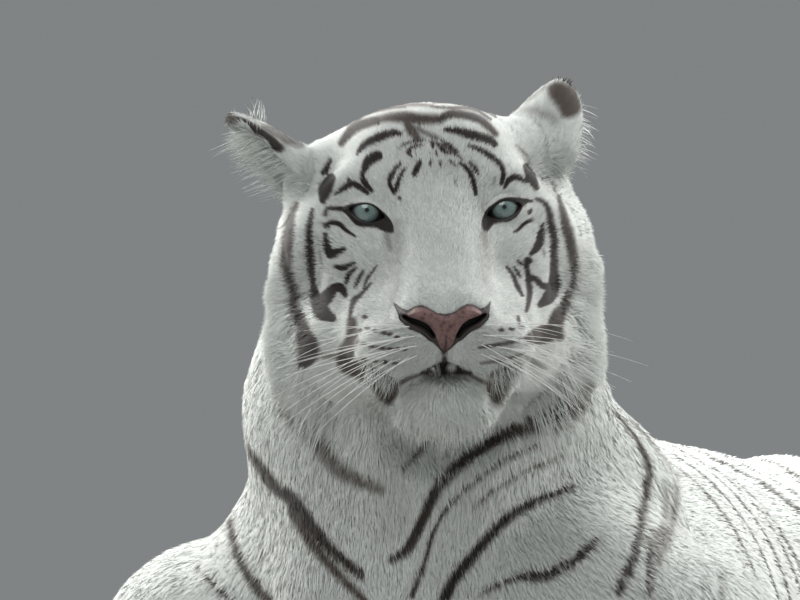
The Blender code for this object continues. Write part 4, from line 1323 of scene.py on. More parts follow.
def store_colour(mesh, colours):
    layer = mesh.color_attributes.new("hair colour", "FLOAT_COLOR", "POINT")
    full = np.ones((len(mesh.vertices), 4), np.float32)
    full[:, :3] = colours
    layer.data.foreach_set("color", full.reshape(-1))


def crease_lids(depth=0.0012):
    """Presses a shallow fold into the skin above each eye."""
    place = coordinates(skin.data)
    on_head = in_head(place)
    share = np.zeros(len(place))
    for side in (1, -1):
        above = ease(on_head[:, 2] * 1000, 3, 9) * (np.abs(on_head[:, 0] * 1000 - side * EYE_APART * 500) < 22)
        share = np.maximum(share, above * np.exp(-((eye_distance(on_head, side) - 5.5) / 1.5) ** 2))
    share *= on_head[:, 1] < 0.03
    move_to(skin.data, place + (share * depth)[:, None] * HEAD_TURN[:, 1])


crease_lids()
SKIN_SHADE = 0.93  # what shows between the hairs is in shadow
skin_place, skin_normals = coordinates(skin.data), read(skin.data.vertices, "normal")
skin_sizes, _, skin_kinds = coat_at(skin_place)
skin_dark = darkness(skin_place, skin_normals, skin_kinds)
store_colour(skin.data, hair_colour(skin_dark) * SKIN_SHADE)
print("dark share of the skin", round(float((skin_dark > 0.5).mean()), 3))

# %% [markdown]
# ## The coat
# Fur is laid as blades: slim leaves of two triangles, rooted in the skin and bent over along the lie of the
# hair, so that their tips reach the outline of the solids. They are dealt out over the skin's faces at random
# from a fixed seed, many where the hair is fine and few where it is coarse. Each blade takes its colour from
# the marking under its middle and under its tip, which gives the stripes their ragged edges.

# %% Regions of the coat, one mesh each
MOST_BLADES = 97000  # for one mesh
REGIONS = {
    "coat_face": MOST_BLADES, "coat_head": MOST_BLADES, "coat_ruff": 70000, "coat_neck_left": MOST_BLADES,
    "coat_neck_right": MOST_BLADES, "coat_forelegs": MOST_BLADES, "coat_left_side": 52000,
    "coat_right_side": 52000, "coat_hindquarters": MOST_BLADES,
}


def region_of(centres, kinds):
    """Number of the region in REGIONS for each face of the skin, from its place and kind of coat."""
    design = centres - SHIFT
    on_head = in_head(centres)
    head = share_of(kinds, *HEAD_KINDS) > 0.5
    region = np.where(design[:, 0] > 0, 6, 7)
    region[(share_of(kinds, "shin", "paw", "arm") > 0.5) & (design[:, 1] < 0.25)] = 5
    region[(design[:, 1] > 0.66) | (share_of(kinds, "tail") > 0.5)] = 8
    front = (share_of(kinds, "neck", "breast") > 0.5) & (design[:, 1] < 0.3)
    region[front] = 3
    region[front & (design[:, 0] < 0.01)] = 4
    ruff = share_of(kinds, "ruff") > 0.5
    region[head & ruff] = 2
    region[head & ~ruff] = 1
    region[head & (on_head[:, 1] < 0.035) & (np.abs(on_head[:, 0]) < 0.105)] = 0
    return region


def unwrap_regions(region):
    """Flattens the skin's faces region by region, so that each region fills the square with its own shape."""
    pick(skin)
    skin.data.uv_layers.new(name="roots")
    for number in range(len(REGIONS)):
        select_faces(skin.data, region == number)
        bpy.ops.object.mode_set(mode="EDIT")
        bpy.ops.uv.smart_project(angle_limit=math.radians(60), island_margin=0.001)
        bpy.ops.object.mode_set(mode="OBJECT")
    flat = read(skin.data.uv_layers["roots"].data, "uv", 2)
    skin.data.uv_layers.remove(skin.data.uv_layers["roots"])
    return flat


face_centres = read(skin.data.polygons, "center")
face_region = region_of(face_centres, coat_at(face_centres)[2])
root_map = unwrap_regions(face_region)
print("faces to a region:", dict(zip(REGIONS, np.bincount(face_region, minlength=len(REGIONS)).tolist())))

# %% The skin as triangles, for dealing out roots
skin.data.calc_loop_triangles()
tri_points = read(skin.data.loop_triangles, "vertices", number=np.int32)
tri_loops = read(skin.data.loop_triangles, "loops", number=np.int32)
tri_face = read(skin.data.loop_triangles, "polygon_index", 1, np.int32)[:, 0]
corner = skin_place[tri_points]
tri_area = lengths(np.cross(corner[:, 1] - corner[:, 0], corner[:, 2] - corner[:, 0])) / 2
print(len(tri_face), "triangles of skin,", round(float(tri_area.sum()), 2), "square metres")


# %% Dealing out roots
EAR_COAT = (2.0, 10.0, 0.90, 1.2)
BRIDGE_LENGTH, FACE_GROWTH = 4.2, 0.030  # mm at the nose, and mm more for each mm further from it


def deal_roots(number, most):
    """Places, normals and map places of the roots of one region."""
    mine = np.flatnonzero(face_region[tri_face] == number)
    spacing = skin_sizes[tri_points[mine], 3].mean(1)
    on_ear = ear_share(corner[mine].mean(1))
    spacing = spacing * (1 - on_ear) + EAR_COAT[3] * on_ear
    wanted = tri_area[mine] * 1e6 / spacing
    count = int(min(wanted.sum(), most) * (1))
    order = (np.arange(count) + rng.random(count)) * (wanted.sum() / count)
    chosen = mine[np.minimum(np.searchsorted(np.cumsum(wanted), order), len(mine) - 1)]
    share = rng.random((count, 2))
    over = share.sum(1) > 1
    share[over] = 1 - share[over]
    share = np.concatenate([1 - share.sum(1)[:, None], share], 1)[:, :, None]
    place = (skin_place[tri_points[chosen]] * share).sum(1)
    normal = unit((skin_normals[tri_points[chosen]] * share).sum(1))
    return place, normal, (root_map[tri_loops[chosen]] * share).sum(1)


def coat_sizes(place, normal):
    """Depth, length and width in metres, the lie along the surface, and the kinds' weights."""
    sizes, lie, kinds = coat_at(place)
    on_head = in_head(place)
    ears = ear_share(place)[:, None]
    sizes = sizes[:, :3] * (1 - ears) + np.array(EAR_COAT[:3]) * ears
    for side in EARS:
        mine, _, _, rise, _ = ear_places(on_head, side)
        lie = np.where(mine[:, None], lie * (1 - ears) + ears * (rise @ HEAD_TURN.T), lie)
    from_nose = lengths(on_head - NOSE_TIP) * 1000
    grown = BRIDGE_LENGTH + FACE_GROWTH * np.maximum(from_nose - 15, 0)
    sizes[:, 1] = np.where(share_of(kinds, "face") > 0.4, np.minimum(sizes[:, 1], grown), sizes[:, 1])
    for side in (1, -1):
        room = np.maximum(eye_distance(on_head, side), 0.6)
        close = (room < 14) & (on_head[:, 1] < 0.05)
        sizes[:, 1] = np.where(close, np.minimum(sizes[:, 1], 2.2 + 0.7 * room), sizes[:, 1])
        sizes[:, 0] = np.where(close, np.minimum(sizes[:, 0], 0.8 + 0.2 * room), sizes[:, 0])
    floor_press = np.clip((place[:, 2] - 0.004) / 0.05, 0.12, 1)
    sizes[:, 0] *= floor_press
    lie = lie - (lie * normal).sum(1)[:, None] * normal
    return sizes / 1000, unit(lie), kinds


def bare(place):
    """Where no hair grows: the nose leather, the openings of the eyes, and what lies flat on the floor."""
    on_head = in_head(place)
    none = inside_nose(on_head) > -0.3
    for side in (1, -1):
        none |= (eye_distance(on_head, side) < 1.4) & (on_head[:, 1] < 0.04)
    return none | (place[:, 2] < 0.003)


# %% Blades
ROOT_SUNK = 0.0010
MAP_PATCH = 0.003
# painted shade: the root of each blade is darkened by this share, for the shadow deep in the coat
ROOT_SHADE = 0.92
SLEEK, SHAGGY = 0.08, 0.25  # how far the light on a blade follows the blade itself, and not the body under it


def blade_mesh(name, line, side, half, normal, colours, flat, follow=0.15):
    """Leaves along lines of points (n, steps, 3), pointed at both ends, with half their width at each step."""
    count, steps = line.shape[:2]
    wide = side[:, None, :] * half[:, :, None]
    edges = np.stack([line - wide, line + wide], 2)[:, 1:-1].reshape(count, -1, 3)
    place = np.concatenate([line[:, :1], edges, line[:, -1:]], 1)
    place[:, :, 2] = np.maximum(place[:, :, 2], 0.0008)
    per = place.shape[1]
    quads = [corner for i in range(steps - 3) for corner in (2 * i + 1, 2 * i + 2, 2 * i + 4, 2 * i + 3)]
    loops = np.array([0, 2, 1] + quads + [per - 3, per - 2, per - 1])
    sizes = np.array([3] + [4] * (steps - 3) + [3])
    mesh = bpy.data.meshes.new(name)
    mesh.vertices.add(count * per)
    mesh.vertices.foreach_set("co", place.astype(np.float32).reshape(-1))
    mesh.loops.add(count * len(loops))
    corners = loops + per * np.arange(count)[:, None]
    mesh.loops.foreach_set("vertex_index", corners.astype(np.int32).reshape(-1))
    mesh.polygons.add(count * len(sizes))
    starts = np.cumsum(sizes) - sizes + len(loops) * np.arange(count)[:, None]
    mesh.polygons.foreach_set("loop_start", starts.astype(np.int32).reshape(-1))
    mesh.update(calc_edges=True)
    step_of = np.concatenate([[0], np.repeat(np.arange(1, steps - 1), 2), [steps - 1]])
    store_colour(mesh, colours[:, step_of].reshape(-1, 3))
    map_layer = mesh.uv_layers.new(name="OFBake")
    out = np.concatenate([[0], np.tile((-0.5, 0.5), steps - 2), [0]])
    patch = (np.stack([out, step_of / (steps - 1) - 0.5], 1) * MAP_PATCH)[loops]
    spread = np.clip(flat[:, None, :], MAP_PATCH, 1 - MAP_PATCH) + patch[None]
    map_layer.data.foreach_set("uv", spread.astype(np.float32).reshape(-1))
    leaf = unit(np.cross(side, line[:, -1] - line[:, 0]))
    leaf *= np.sign((leaf * normal).sum(1))[:, None]
    blended = unit(normal * (1 - follow) + leaf * follow)
    ob = bpy.data.objects.new(name, mesh)
    shade_smooth(ob)
    mesh.normals_split_custom_set_from_vertices(np.repeat(blended, per, 0))
    bpy.context.scene.collection.objects.link(ob)
    return ob


def curved_lines(place, normal, way, length, height, steps):
    """Lines that leave the skin, rise to their height and end lying along the way."""
    ahead = np.sqrt(np.maximum(length ** 2 - height ** 2, 0))
    first = place - normal * ROOT_SUNK
    bend = place + way * (0.33 * ahead)[:, None] + normal * (1.05 * height)[:, None]
    last = place + way * ahead[:, None] + normal * height[:, None]
    t = np.linspace(0, 1, steps)[None, :, None]
    return (1 - t) ** 2 * first[:, None] + 2 * t * (1 - t) * bend[:, None] + t ** 2 * last[:, None]


def drift(place, wave, seed):
    """A smooth random number, about -1 to 1, alike for neighbours nearer than the wave."""
    turn = np.random.default_rng(seed)
    total = np.zeros(len(place))
    for _ in range(5):
        way = turn.normal(0, 1, 3)
        way /= np.linalg.norm(way)
        total += np.sin(place @ way * (2 * math.pi / wave) * turn.uniform(0.7, 1.4) + turn.uniform(0, 6.3))
    return total / 2.6


def lay_coat(name, number, most):
    place, normal, flat = deal_roots(number, most)
    keep = ~bare(place)
    place, normal, flat = place[keep], normal[keep], flat[keep]
    sizes, lie, kinds = coat_sizes(place, normal)
    count = len(place)
    wave = 0.012 + 0.9 * sizes[:, 1].mean()
    shaggy = share_of(kinds, "ruff") + 0.15 * share_of(kinds, "jaw")
    face = share_of(kinds, "face")
    swing = (0.16 + 0.16 * shaggy) * drift(place, wave, number)
    swing = (swing + rng.normal(0, 1, count) * (0.09 + 0.08 * shaggy))[:, None]
    across = np.cross(lie, normal)
    way = unit(lie * np.cos(swing) + across * np.sin(swing))
    length = sizes[:, 1] * rng.uniform(0.70, 1.15, count)
    rise = rng.uniform(0.35, 0.95, count) + 0.12 * drift(place, wave * 0.7, number + 20)
    height = np.minimum(sizes[:, 0] * np.clip(rise, 0.25, 1.05), length * 0.8)
    line = curved_lines(place, normal, way, length, height, 3)
    twist = rng.normal(0, 0.25, count)[:, None]
    side = unit(np.cross(way, normal) * np.cos(twist) + normal * np.sin(twist))
    half = sizes[:, 2:3] * rng.uniform(0.7, 1.25, (count, 1)) / 2 * np.array((0.0, 1.0, 0.0))
    fray = rng.uniform(0.0, 0.5, (count, 1))
    mottle = (0.035 + 0.05 * shaggy) * drift(place, wave * 0.5, number + 40)
    tone = ((1.04 - rng.random(count) * (0.11 + 0.20 * face + 0.06 * shaggy)) * (1 + mottle))[:, None]
    middle = hair_colour(darkness(line[:, 1], normal, kinds)) * tone
    tip = hair_colour(darkness(line[:, 2] * (1 - fray) + line[:, 1] * fray, normal, kinds)) * tone
    # the root gets the middle's colour, darkened as painted shade
    return blade_mesh(name, line, side, half, normal, np.stack([middle * ROOT_SHADE, middle, tip], 1), flat,
                      (SLEEK + (SHAGGY - SLEEK) * shaggy)[:, None])


coat = []
for number, (name, most) in enumerate(REGIONS.items()):
    coat.append(lay_coat(name, number, most))
    print(name, len(coat[-1].data.polygons) // 2, "blades,", len(coat[-1].data.polygons), "triangles")

# %% [markdown]
# ## Finishes of hair and skin
# Hair is a little shiny along its length and dull across it, and a coat of white hair glows softly. A
# principled shader with a high roughness and some sheen comes near that, and noise keeps the colour from being
# even.

# %% Materials for coat and skin
def fill(tree, node, values):
    """Sets each socket of a node to a value, or links another node's output to it."""
    for socket, value in values.items():
        if isinstance(value, bpy.types.NodeSocket):
            tree.links.new(value, node.inputs[socket])
        else:
            node.inputs[socket].default_value = value


def add_node(tree, kind, values, **settings):
    node = tree.nodes.new("ShaderNode" + kind)
    for setting, value in settings.items():
        setattr(node, setting, value)
    fill(tree, node, values)
    return node


def new_finish(name, roughness, specular, sheen=0.0, coat_layer=0.0):
    finish = bpy.data.materials.new(name)
    finish.use_nodes = True
    shader = finish.node_tree.nodes["Principled BSDF"]
    fill(finish.node_tree, shader, {
        "Roughness": roughness, "Specular IOR Level": specular, "Sheen Weight": sheen, "Sheen Roughness": 0.5,
        "Coat Weight": coat_layer, "Coat Roughness": 0.03})
    return finish, finish.node_tree, shader


def texture_at(tree, scale, kind="Noise", detail=3):
    """A texture on the piece's own place."""
    place = tree.nodes.new("ShaderNodeTexCoord").outputs["Object"]
    return add_node(tree, "Tex" + kind, {"Vector": place, "Scale": scale, "Detail": detail})


def uneven(tree, colour, noise, low, high):
    """The colour, multiplied by a noise that is made to run from low to high."""
    span = add_node(tree, "MapRange", {
        "Value": noise.outputs["Fac"], "From Min": 0.3, "From Max": 0.7, "To Min": low, "To Max": high})
    times = {0: colour, "Scale": span.outputs["Result"]}
    return add_node(tree, "VectorMath", times, operation="SCALE").outputs[0]


def bumped(tree, shader, height, distance, strength=0.6):
    bump = add_node(tree, "Bump", {"Height": height, "Distance": distance, "Strength": strength})
    fill(tree, shader, {"Normal": bump.outputs["Normal"]})


def bumped_by_noise(tree, shader, scale, distance, strength=0.6):
    bumped(tree, shader, texture_at(tree, scale).outputs["Fac"], distance, strength)


def painted_finish(name, roughness, specular, sheen, *mottles):
    """The mesh's own painted colour, made uneven at each scale in turn."""
    finish, tree, shader = new_finish(name, roughness, specular, sheen)
    colour = add_node(tree, "Attribute", {}, attribute_name="hair colour").outputs["Color"]
    for scale, low, high in mottles:
        colour = uneven(tree, colour, texture_at(tree, scale), low, high)
    fill(tree, shader, {"Base Color": colour})
    return finish, tree, shader


HAIR_MOTTLES = (14, 0.93, 1.03), (420, 0.90, 1.04)  # scale, then how far down and up the colour is taken
coat_finish, _, _ = painted_finish("white and dark hair", 0.72, 0.25, 0.25, *HAIR_MOTTLES)
skin_finish, skin_tree, skin_shader = painted_finish("skin under the hair", 0.85, 0.25, 0.10, *HAIR_MOTTLES)
bumped_by_noise(skin_tree, skin_shader, 900, 0.0008)
skin.data.materials.clear()
skin.data.materials.append(skin_finish)
shade_smooth(skin)
for ob in coat:
    ob.data.materials.append(coat_finish)
print("finishes for", len(coat), "coat pieces and the skin")

# %% [markdown]
# ## Eyes
# The white tiger's pale eyes are its strongest feature. Each eyeball starts as a ball of the solids' own size,
# and its front swells a little into the cornea. The iris is painted by rule: pale blue-green with fine spokes,
# a dark ring round it, and a small round pupil. A clear coat makes it wet.

# %% Eyeballs
PUPIL_RADIUS, RAMP_REACH = 0.0019, 0.020  # the rings are given as shares of the reach
PUPIL_BLACK = (0.004, 0.004, 0.005)
CORNEA_SWELL, CORNEA_ANGLE = 0.0016, math.radians(42)
GAZE = (Vector(view_from) - Vector(EYE_LINE)).normalized()
GAZE = (GAZE + Vector(view_right) * 0.068 + Vector((0, 0, 0.148))).normalized()  # just over the viewer
GAZE_TURN = GAZE.to_track_quat("Z", "Y")


def eyeball(name, centre):
    eye = start_piece(name, bpy.ops.mesh.primitive_uv_sphere_add, segments=96, ring_count=64,
                      radius=EYE_RADIUS)
    place = coordinates(eye.data)
    angle = np.arccos(np.clip(place[:, 2] / EYE_RADIUS, -1, 1))
    swell = np.where(angle < CORNEA_ANGLE, 0.5 + 0.5 * np.cos(math.pi * angle / CORNEA_ANGLE), 0)
    place *= (1 + CORNEA_SWELL / EYE_RADIUS * swell)[:, None]
    move_to(eye.data, place @ np.array(GAZE_TURN.to_matrix()).T + np.array(centre))
    shade_smooth(eye)
    return eye


# %% The eye's finish: rings and spokes measured from the line of sight
def math_node(tree, operation, *values, clamp=False):
    return add_node(tree, "Math", dict(enumerate(values)), operation=operation, use_clamp=clamp).outputs[0]


def ramp(tree, value, stops):
    node = tree.nodes.new("ShaderNodeValToRGB")
    while len(node.color_ramp.elements) < len(stops):
        node.color_ramp.elements.new(0.5)
    for element, (place, colour) in zip(node.color_ramp.elements, stops):
        element.position, element.color = place, (*colour, 1)
    fill(tree, node, {"Fac": value})
    return node.outputs["Color"]


def eye_finish(name, centre):
    finish, tree, shader = new_finish(name, 0.12, 0.5, coat_layer=1.0)
    place = tree.nodes.new("ShaderNodeTexCoord").outputs["Object"]
    turned = {"Vector": place, "Location": centre, "Rotation": GAZE_TURN.to_euler()}
    local = add_node(tree, "Mapping", turned, vector_type="TEXTURE")
    x, y, z = add_node(tree, "SeparateXYZ", {0: local.outputs["Vector"]}).outputs
    squares = [math_node(tree, "MULTIPLY", axis, axis) for axis in (x, y)]
    out = math_node(tree, "SQRT", math_node(tree, "ADD", *squares))
    share = math_node(tree, "DIVIDE", out, RAMP_REACH)
    share = math_node(tree, "ADD", share, math_node(tree, "LESS_THAN", z, 0.0), clamp=True)
    around = math_node(tree, "MULTIPLY", math_node(tree, "ARCTAN2", y, x), 11.0)
    outwards = math_node(tree, "MULTIPLY", out, 260.0)
    spread = add_node(tree, "CombineXYZ", {0: around, 1: outwards}).outputs[0]
    spokes = add_node(tree, "TexNoise", {"Vector": spread, "Scale": 1.0, "Detail": 4})
    rings = ramp(tree, share, (
        (0.0, PUPIL_BLACK), (PUPIL_RADIUS / RAMP_REACH, PUPIL_BLACK),
        (PUPIL_RADIUS / RAMP_REACH + 0.015, (0.13, 0.20, 0.18)), (0.26, (0.21, 0.30, 0.275)),
        (0.46, (0.20, 0.27, 0.255)), (0.55, (0.13, 0.165, 0.16)), (0.605, (0.03, 0.035, 0.037)),
        (0.70, (0.035, 0.025, 0.022)), (1.0, (0.10, 0.06, 0.05)),
    ))
    fill(tree, shader, {"Base Color": uneven(tree, rings, spokes, 0.72, 1.18)})
    return finish


eyes = {}
for side, centre in EYES.items():
    eyes[side] = eyeball("eyeball_" + SIDE_NAMES[side], centre)
    eyes[side].data.materials.append(eye_finish("pale iris " + SIDE_NAMES[side], centre))
print("eyeballs of", len(eyes[1].data.polygons), "faces, looking", [round(c, 2) for c in GAZE])

# %% [markdown]
# ## Rims of the lids
# The edge of a tiger's lids is bare and black, with a dark crease at the inner corner. A ring that is bent
# round the opening and lies on the eyeball covers the cut edge of the skin.

# %% Lid rims
RIM_THICK = 0.0019


def lid_rim(name, centre, side):
    rim = start_piece(name, bpy.ops.mesh.primitive_torus_add, major_segments=96, minor_segments=14,
                      major_radius=1.0, minor_radius=0.25)
    place = coordinates(rim.data)
    angle = np.arctan2(place[:, 1], place[:, 0])
    outwards = (np.hypot(place[:, 0], place[:, 1]) - 1) / 0.25
    forward = place[:, 2] / 0.25
    path = almond(angle, side, 0.0004)
    away = almond(angle, side, 0.0014) - path
    away /= lengths(away)[:, None]
    flat = path + away * (outwards * RIM_THICK)[:, None]
    ball_radius = EYE_RADIUS + 0.0007
    out = np.sqrt(np.maximum(ball_radius ** 2 - (path ** 2).sum(1), 0.0))
    local = np.stack([flat[:, 0], -out - forward * RIM_THICK - 0.25 * np.maximum(-outwards, 0) * RIM_THICK,
                      flat[:, 1]], 1)
    move_to(rim.data, local @ HEAD_TURN.T + np.array(centre))
    face_outwards(rim)
    shade_smooth(rim)
    return rim


rim_finish, rim_tree, rim_shader = new_finish("bare dark lid", 0.38, 0.5)
fill(rim_tree, rim_shader, {"Base Color": (0.016, 0.013, 0.012, 1)})
bumped_by_noise(rim_tree, rim_shader, 1500, 0.0002)
rims = [lid_rim("lid_rim_" + SIDE_NAMES[side], centre, side) for side, centre in EYES.items()]
for rim in rims:
    rim.data.materials.append(rim_finish)
print("lid rims", round(RIM_THICK * 2000, 1), "mm thick")

# %% [markdown]
# ## Nose
# The leather is a low cushion with two pink lobes, a groove down its middle and a comma-shaped nostril in each
# dark wing. A fine grid is fitted between the upper and the lower edge of the outline, laid on the head's own
# surface, and sunk where the nostrils go in.

# %% Nose leather
NOSE_COLUMNS, NOSE_ROWS = 120, 70
NOSTRIL = ((37, -95), (30, -98.5), (22.5, -101.5), (16.5, -106), (11.5, -113))  # middle line, wing first
NOSTRIL_HALF = (1.0, 2.3, 2.9, 2.6, 1.2)


def nose_surface(x, z):
    """Depth of the head's surface, forward being negative, at points straight ahead, in metres."""
    y = np.full(len(x), -0.150)
    for _ in range(30):
        on_head = np.stack([x, y, z], 1)
        y += np.clip(field(out_of_head(on_head)) + 0.0012, -0.004, 0.02) * 0.7
    return y


def nostril_depth(x, z):
    """1 in the middle of a nostril, 0 outside it, with x and z in millimetres."""
    route = Stroke(tuple(2 * h for h in NOSTRIL_HALF), list(NOSTRIL), 1.0, 2.4)
    return route.darkness(np.stack([np.abs(x), z], 1))


def nose_leather():
    nose = start_piece("nose_leather", bpy.ops.mesh.primitive_grid_add, x_subdivisions=NOSE_COLUMNS,
                       y_subdivisions=NOSE_ROWS, size=2)
    flat = coordinates(nose.data).astype(float)
    x = 43.9 * np.sign(flat[:, 0]) * np.abs(flat[:, 0]) ** 1.1
    top, foot = nose_edges(x)
    share = (1 - flat[:, 1]) / 2
    z = top + (foot - top) * share
    edge = np.minimum(np.minimum(share, 1 - share) * (top - foot), 44.0 - np.abs(x))
    y = nose_surface((x + NOSE_ASIDE) / 1000, z / 1000)
    pink = lobe_share(x, z)
    cushion = 1.2 * ease(edge, -0.5, 4) + 2.2 * ease(pink, 0, 4.5)
    cushion -= 1.6 * np.exp(-(x / 1.3) ** 2) * ease(-z, 108, 122)
    lobe = 1.4 * np.exp(-((np.abs(x) - 17) / 11) ** 2 - ((z + 94) / 8) ** 2)
    y = y - (cushion + lobe) / 1000 + 0.009 * nostril_depth(x, z) ** 1.4
    place = np.stack([(x + NOSE_ASIDE) / 1000, y, z / 1000], 1)
    move_to(nose.data, out_of_head(place))
    store_colour(nose.data, nose_colour(x, z))
    return nose


# %% Colours of the nose
# the third colour is painted shade for the insides of the nostrils
PINK, FRECKLE, NOSTRIL_SHADE, WING, LOBE_RIM = np.array((
    (0.235, 0.140, 0.130), (0.060, 0.032, 0.030), (0.012, 0.009, 0.009), (0.042, 0.034, 0.032),
    (0.33, 0.245, 0.235)))
LOBE = ((0, -94.5), (8, -92.5), (14, -88.5), (21, -85.2), (28, -86.6), (33.8, -91.5))  # upper edge of the pink
LOBE_FOOT = ((0, -128.5), (4, -124.5), (7.2, -118), (10, -110), (15.5, -102.5), (23, -98), (33.8, -94.5))


def lobe_share(x, z):
    """How far inside the pink a point of the leather is, in millimetres."""
    from_middle = np.abs(x)
    top, foot = np.interp(from_middle, *zip(*LOBE)), np.interp(from_middle, *zip(*LOBE_FOOT))
    return np.minimum(np.minimum(top - z, z - foot), 34.0 - from_middle)


def nose_colour(x, z):
    inside = lobe_share(x, z)
    blotches = np.zeros(len(x))
    for across, up in [(across, up) for across in range(-32, 33, 5) for up in range(-128, -82, 4)]:
        off_x, off_z = x - across - rng.normal(0, 1.6), z - up - rng.normal(0, 1.4)
        size, strength = rng.uniform(1.0, 2.2), rng.uniform(0.0, 1.1)
        blotches = np.maximum(blotches, strength * np.exp(-(off_x ** 2 + off_z ** 2) / size ** 2))
    blotches = np.maximum(blotches, 0.55 * ease(-z, 116, 127))
    leather = PINK + (FRECKLE - PINK) * (blotches * 0.9)[:, None]
    # painted shade: the lower part of the middle groove is darkened
    leather *= 1 - 0.7 * (np.exp(-(x / 1.2) ** 2) * ease(-z, 108, 120))[:, None]
    rim = np.exp(-((inside - 0.2) / 0.9) ** 2) * (z < np.interp(np.abs(x), *zip(*LOBE)) - 4)
    rim *= ease(-z, 126, 116) * ease(-np.abs(x), -32, -28)
    leather = leather + (LOBE_RIM - leather) * (rim * 0.75)[:, None]
    colour = WING + (leather - WING) * ease(inside, -1.0, 0.6)[:, None]
    # painted shade: the insides of the nostrils are darkened to near black
    hollow = ease(nostril_depth(x, z), 0.15, 0.7)[:, None] * (1 - ease(inside, -0.8, 0.3))[:, None]
    return colour + (NOSTRIL_SHADE - colour) * hollow


nose = nose_leather()
add_wall(nose, 0.004, -1)
apply_modifiers(nose)
print("nose leather", len(nose.data.polygons), "faces")

# %% Finish of the nose: damp leather with a fine cobbled grain
nose_finish, nose_tree, nose_shader = painted_finish("damp nose leather", 0.55, 0.3, 0.0, (500, 0.85, 1.1))
grain = texture_at(nose_tree, 750, "Voronoi", 0)
bumped(nose_tree, nose_shader, grain.outputs["Distance"], 0.0004, 0.7)
nose.data.materials.append(nose_finish)
shade_smooth(nose)

# %% [markdown]
# ## Whiskers
# Whiskers are stiff white bristles that leave the pads in rows and sweep out and down. Each is one line of a
# curve object with a round bevel, thick at its root and fine at its tip, and the curve is then made a mesh.

# %% Whiskers
WHISKER_THICK = 0.00055
WHISKER_STEPS = 12
WHISKER_ROWS = ((-104, 4, 36, 8), (-113, 6, 32, 7.2), (-122, 6, 30, 7.2), (-131, 5, 30, 7.5))


def whisker_roots(side):
    """Points on the pad, in rows, in millimetres of the head's frame: side, height, length and lift."""
    roots = []
    for row, (height, count, first, gap) in enumerate(WHISKER_ROWS):
        for i in range(count):
            x, z, length = side * (first + gap * i), height - 1.2 * i, 95 + 22 * (i % 3) + 9 * row
            roots.append((x, z, length, 0.12 - 0.16 * row))
    return roots


def add_whiskers():
    bpy.ops.object.select_all(action="DESELECT")
    curve = bpy.data.curves.new("whiskers", "CURVE")
    curve.dimensions, curve.bevel_depth, curve.bevel_resolution = "3D", WHISKER_THICK, 1
    for side in (1, -1):
        for x, z, length, lift in whisker_roots(side):
            y = nose_surface(np.array([x / 1000]), np.array([z / 1000]))[0]
            start = Vector((x / 1000, y, z / 1000))
            out, ahead = side * rng.uniform(0.75, 1.0), rng.uniform(-0.35, 0.25)
            way = Vector((out, ahead, lift + rng.uniform(-0.18, 0.1))).normalized()
            length = length / 1000 * rng.uniform(0.6, 0.95)
            drop, back = rng.uniform(0.08, 0.34), rng.uniform(0.15, 0.40)
            line = curve.splines.new("POLY")
            line.points.add(WHISKER_STEPS - 1)
            for i, point in enumerate(line.points):
                t = i / (WHISKER_STEPS - 1)
                spot = start + way * (length * t) + Vector((0, back, -drop)) * (length * t * t)
                point.co = (*(HEAD @ spot), 1)
                point.radius = 1 - 0.82 * t
    ob = bpy.data.objects.new("whiskers", curve)
    bpy.context.scene.collection.objects.link(ob)
    pick(ob)
    bpy.ops.object.convert(target="MESH")
    return bpy.context.object


whiskers = add_whiskers()
whisker_finish, whisker_tree, whisker_shader = new_finish("whisker", 0.35, 0.5)
fill(whisker_tree, whisker_shader, {"Base Color": (0.86, 0.86, 0.84, 1)})
bumped_by_noise(whisker_tree, whisker_shader, 2000, 0.00005)
whiskers.data.materials.append(whisker_finish)
print("whiskers", len(whiskers.data.polygons), "faces")

# %% [markdown]
# ## Long hairs
# Long white hairs fringe the ears, the lips, the chin and the foot of the ruff. They are the same blades as
# the coat's, with more steps, so that they can bend.

# %% Long hairs, and the fringes of the ears
skin_on_head, skin_pane, skin_ear = in_head(skin_place), on_pane(skin_place), ear_share(skin_place)


def long_hairs(name, test, most, way, length, rise, width, droop):
    """Hairs rooted at random points of the skin where the test holds, along a way in the head's directions."""
    found = np.flatnonzero(test)
    count = min(most, len(found))
    chosen = rng.choice(found, count, replace=False)
    place, normal = skin_place[chosen], skin_normals[chosen]
    way = np.broadcast_to(way, skin_place.shape)[chosen] @ HEAD_TURN.T
    way = unit(way + rng.normal(0, 0.26, (count, 3)))
    length = length * rng.uniform(0.4, 1.15, count)
    line = curved_lines(place, normal, way, length, length * rise, 5)
    t = np.linspace(0, 1, 5)[None, :, None]
    line = line + np.array((0, 0, -1)) * (length[:, None, None] * droop * t * t)
    side = unit(np.cross(way, normal + rng.normal(0, 0.4, (count, 3))))
    half = width / 2 * rng.uniform(0.7, 1.2, (count, 1)) * np.array((0.0, 1.0, 0.9, 0.6, 0.0))
    colour = np.tile(WHITE_HAIR * 1.04, (count, 1)) * rng.uniform(0.85, 1.0, (count, 1))
    flat = rng.random((count, 2)) * 0.98 + 0.01
    return blade_mesh(name, line, side, half, normal, np.repeat(colour[:, None], 5, 1), flat)


EAR_FRINGE = {"right": (1300, 0.026, (-0.8, -0.1, -0.10)), "left": (900, 0.019, (0.2, -0.1, -0.45))}
fringes = []
for side, (number, hair, lean) in EAR_FRINGE.items():
    mine, up, _, rise, mouth = ear_places(skin_on_head, side)
    inner = mine & (skin_normals @ HEAD_TURN @ mouth > 0.25) & (up > 0.10) & (up < 0.8) & (skin_ear > 0.6)
    way = rise * 0.55 + mouth * 0.55 + np.array(lean)
    fringes.append(long_hairs("ear_hairs_" + side, inner, number, way, hair, 0.25, 0.0006, 0.12))

